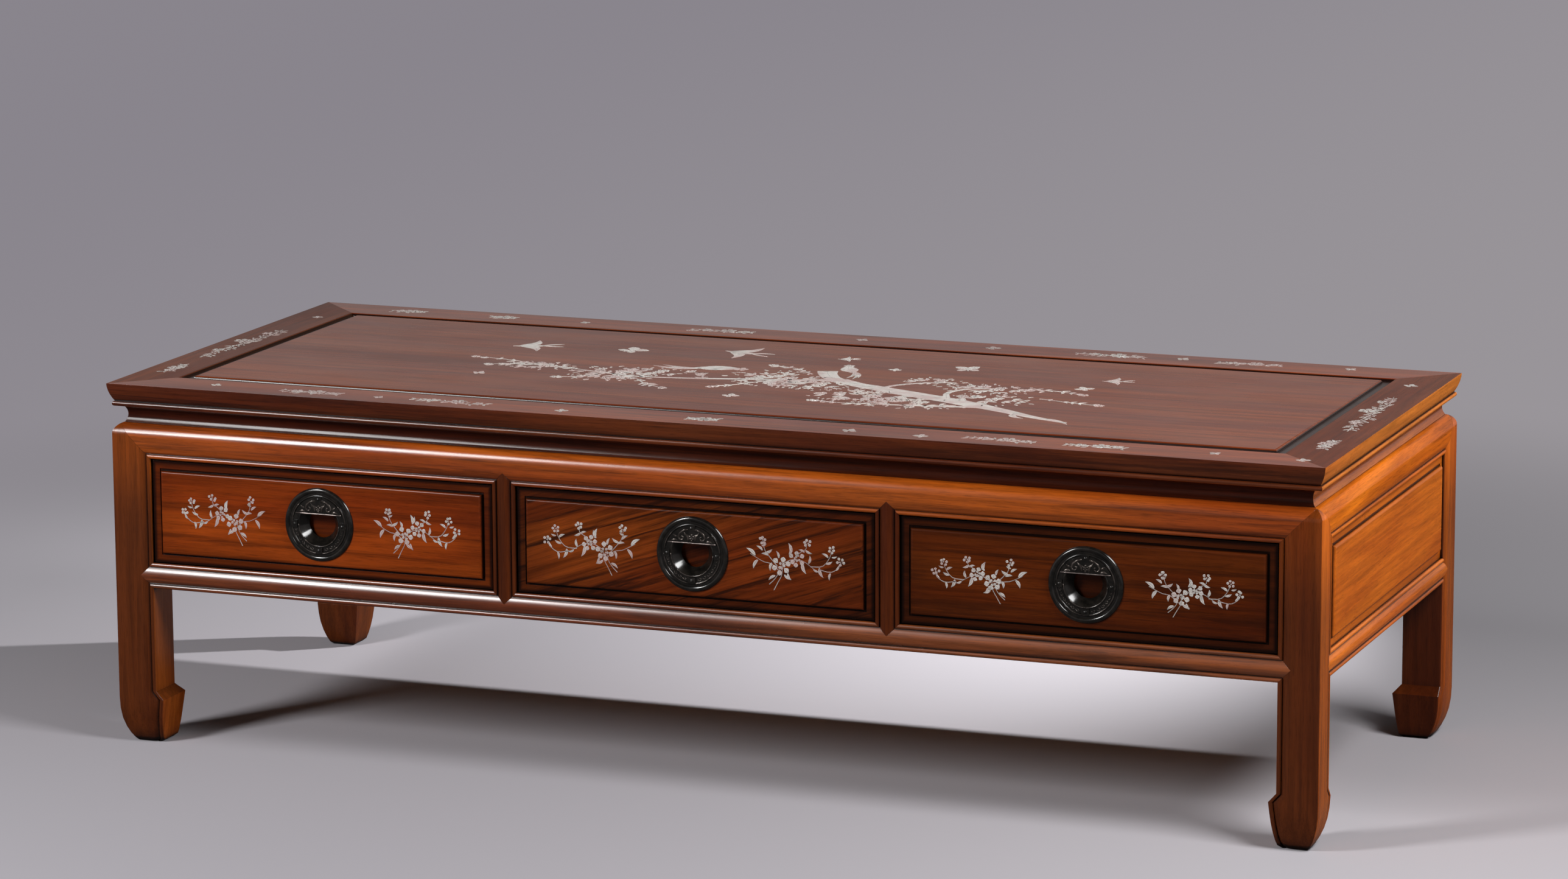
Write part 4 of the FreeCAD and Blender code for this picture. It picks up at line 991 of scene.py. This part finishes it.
# %% [markdown]
# # The studio
# The table stands on a wide sheet of grey paper with grey air round it. A wall behind the table would
# give the same picture, but it would hide the table from behind. So near the table, where the shadows
# fall, the paper is lit paper, painted lighter towards the right and shown darker in reflections, and
# further out it glows in the air's grey for the camera and for reflections alone, which lights nothing.

# %% Lay the paper
PAPER_LEFT, PAPER_RIGHT, PAPER_IN_GLOSS = (0.40, 0.38, 0.41), (0.51, 0.485, 0.515), (0.08, 0.075, 0.075)
AIR_LEFT, AIR_RIGHT, AIR_IN_GLOSS = (0.250, 0.233, 0.264), (0.325, 0.305, 0.325), (0.36, 0.335, 0.33)
HALF_WIDTH_M = 14.0

paper, paper_shader, paper_tree = new_material("grey_paper")
paper_place = coordinates(paper_tree, "Object")
paper_x = parts(paper_tree, paper_place)["X"]
away = node(paper_tree, "ShaderNodeVectorMath", {"operation": "LENGTH"}, Vector=paper_place).outputs["Value"]
rays = node(paper_tree, "ShaderNodeLightPath").outputs

# Painted light: the lit paper is made lighter towards the right, standing for brighter light there, and in
# reflections the near paper shows a darker grey, a painted reflection.
paper_grey = blend_colours(paper_tree, smooth_step(paper_tree, paper_x, -0.4, 1.0), PAPER_LEFT, PAPER_RIGHT)
paper_base = blend_colours(paper_tree, rays["Is Glossy Ray"], paper_grey, PAPER_IN_GLOSS)
wire(paper_tree, paper_shader, Base_Color=paper_base, Roughness=0.9, Specular_IOR_Level=0.15)
air_grey = blend_colours(paper_tree, smooth_step(paper_tree, paper_x, -3.2, 1.0), AIR_LEFT, AIR_RIGHT)
glow = node(paper_tree, "ShaderNodeEmission", Color=air_grey, Strength=1.0)
seen = sums(paper_tree, "MULTIPLY", smooth_step(paper_tree, away, 1.0, 2.2), rays["Is Camera Ray"])
mirrored = sums(paper_tree, "MULTIPLY", smooth_step(paper_tree, away, 2.4, 4.0), rays["Is Glossy Ray"])
mixed = node(paper_tree, "ShaderNodeMixShader", Fac=sums(paper_tree, "MAXIMUM", seen, mirrored))
paper_tree.links.new(paper_shader.outputs["BSDF"], mixed.inputs[1])
paper_tree.links.new(glow.outputs["Emission"], mixed.inputs[2])
paper_output = next(each for each in paper_tree.nodes if each.type == "OUTPUT_MATERIAL")
paper_tree.links.new(mixed.outputs["Shader"], paper_output.inputs["Surface"])

corners = np.array([(-1, -1, 0), (1, -1, 0), (1, 1, 0), (-1, 1, 0)]) * HALF_WIDTH_M
backdrop_mesh = bpy.data.meshes.new("backdrop")
backdrop_mesh.from_pydata(corners.tolist(), [], [(0, 1, 2, 3)])
backdrop_mesh.materials.append(paper)
backdrop = bpy.data.objects.new("backdrop", backdrop_mesh)
bpy.context.scene.collection.objects.link(backdrop)
print("paper laid, half a side:", HALF_WIDTH_M)

# %% [markdown]
# # The lamps
# A tall soft lamp stands in front on the left and draws the bright lines along the mouldings, a second
# one lights the right end of the table, and a small bright one behind on the right shines under the
# table and throws the legs' shadows forward. That last one is linked to the floor alone, so that the
# wood keeps its colour. A low lamp at the end and a weak one at the back leave the floor out, so that
# the shadow stays deep. A few strong lamps alone would leave the hollows black, so the air glows too.

# %% Hang the lamps
AIR_LIGHT, AIR_SEEN = (0.016, 0.020, 0.022), (0.285, 0.268, 0.293)
AIR_ABOVE_IN_GLOSS = (0.03, 0.03, 0.03)


def hang(name, data, place, target, watts):
    """Sets a lamp at a place, facing a target, with its power."""
    data.energy = watts
    made = bpy.data.objects.new(name, data)
    made.location = place
    aim = Vector(target) - Vector(place)
    made.rotation_euler = aim.to_track_quat("-Z", "Y").to_euler()
    bpy.context.scene.collection.objects.link(made)
    return made


def soft_lamp(name, place, target, width, height, watts):
    """A rectangular lamp."""
    data = bpy.data.lights.new(name, "AREA")
    data.shape = "RECTANGLE"
    data.size = width
    data.size_y = height
    return hang(name, data, place, target, watts)


def spot_lamp(name, place, target, radius, angle, watts):
    """A round lamp with a beam that fades from its middle."""
    data = bpy.data.lights.new(name, "SPOT")
    data.shadow_soft_size = radius
    data.spot_size = angle
    data.spot_blend = 1.0
    return hang(name, data, place, target, watts)


soft_lamp("lamp_front_left", (-1.78, -2.46, 1.9), (0.0, -0.2, 0.25), 0.60, 1.1, 86)
soft_lamp("lamp_right", (1.96, -0.84, 2.04), (0.0, 0.0, 0.3), 0.9, 0.9, 58)
end_lamp = soft_lamp("lamp_end", (3.4, 0.5, 0.8), (0.685, 0.0, 0.26), 0.8, 0.8, 41)
under = spot_lamp("lamp_under", (0.83, 1.10, 0.99), (-0.69, 0.16, 0.0), 0.03, math.radians(78), 226)
lit = bpy.data.collections.new("lit_from_behind")
lit.objects.link(backdrop)
under.light_linking.receiver_collection = lit
unlit = bpy.data.collections.new("all_but_the_paper")
unlit.objects.link(backdrop)
unlit.collection_objects[0].light_linking.link_state = "EXCLUDE"
back_lamp = soft_lamp("lamp_back", (1.6, 2.6, 1.9), (0.0, 0.28, 0.2), 0.8, 0.8, 26)
for low_lamp in (end_lamp, back_lamp):
    low_lamp.light_linking.receiver_collection = unlit
    low_lamp.visible_glossy = False

world = bpy.data.worlds.new("studio_air")
world.use_nodes = True
air = world.node_tree
air_rays = node(air, "ShaderNodeLightPath").outputs
upward = parts(air, coordinates(air, "Generated"))["Z"]
# Painted reflection: in reflections alone the air shows a grey band near the horizon and dark above it.
air_gloss = blend_colours(air, smooth_step(air, upward, 0.28, 0.55), AIR_IN_GLOSS, AIR_ABOVE_IN_GLOSS)
air_light = blend_colours(air, air_rays["Is Glossy Ray"], AIR_LIGHT, air_gloss)
air_colour = blend_colours(air, air_rays["Is Camera Ray"], air_light, AIR_SEEN)
wire(air, air.nodes["Background"], Color=air_colour, Strength=1.0)
bpy.context.scene.world = world
bpy.context.scene.view_settings.view_transform = "Standard"
print("lamps hung")

# %% [markdown]
# # Finish
# The view layer is brought up to date.

# %% Finish
bpy.context.view_layer.update()
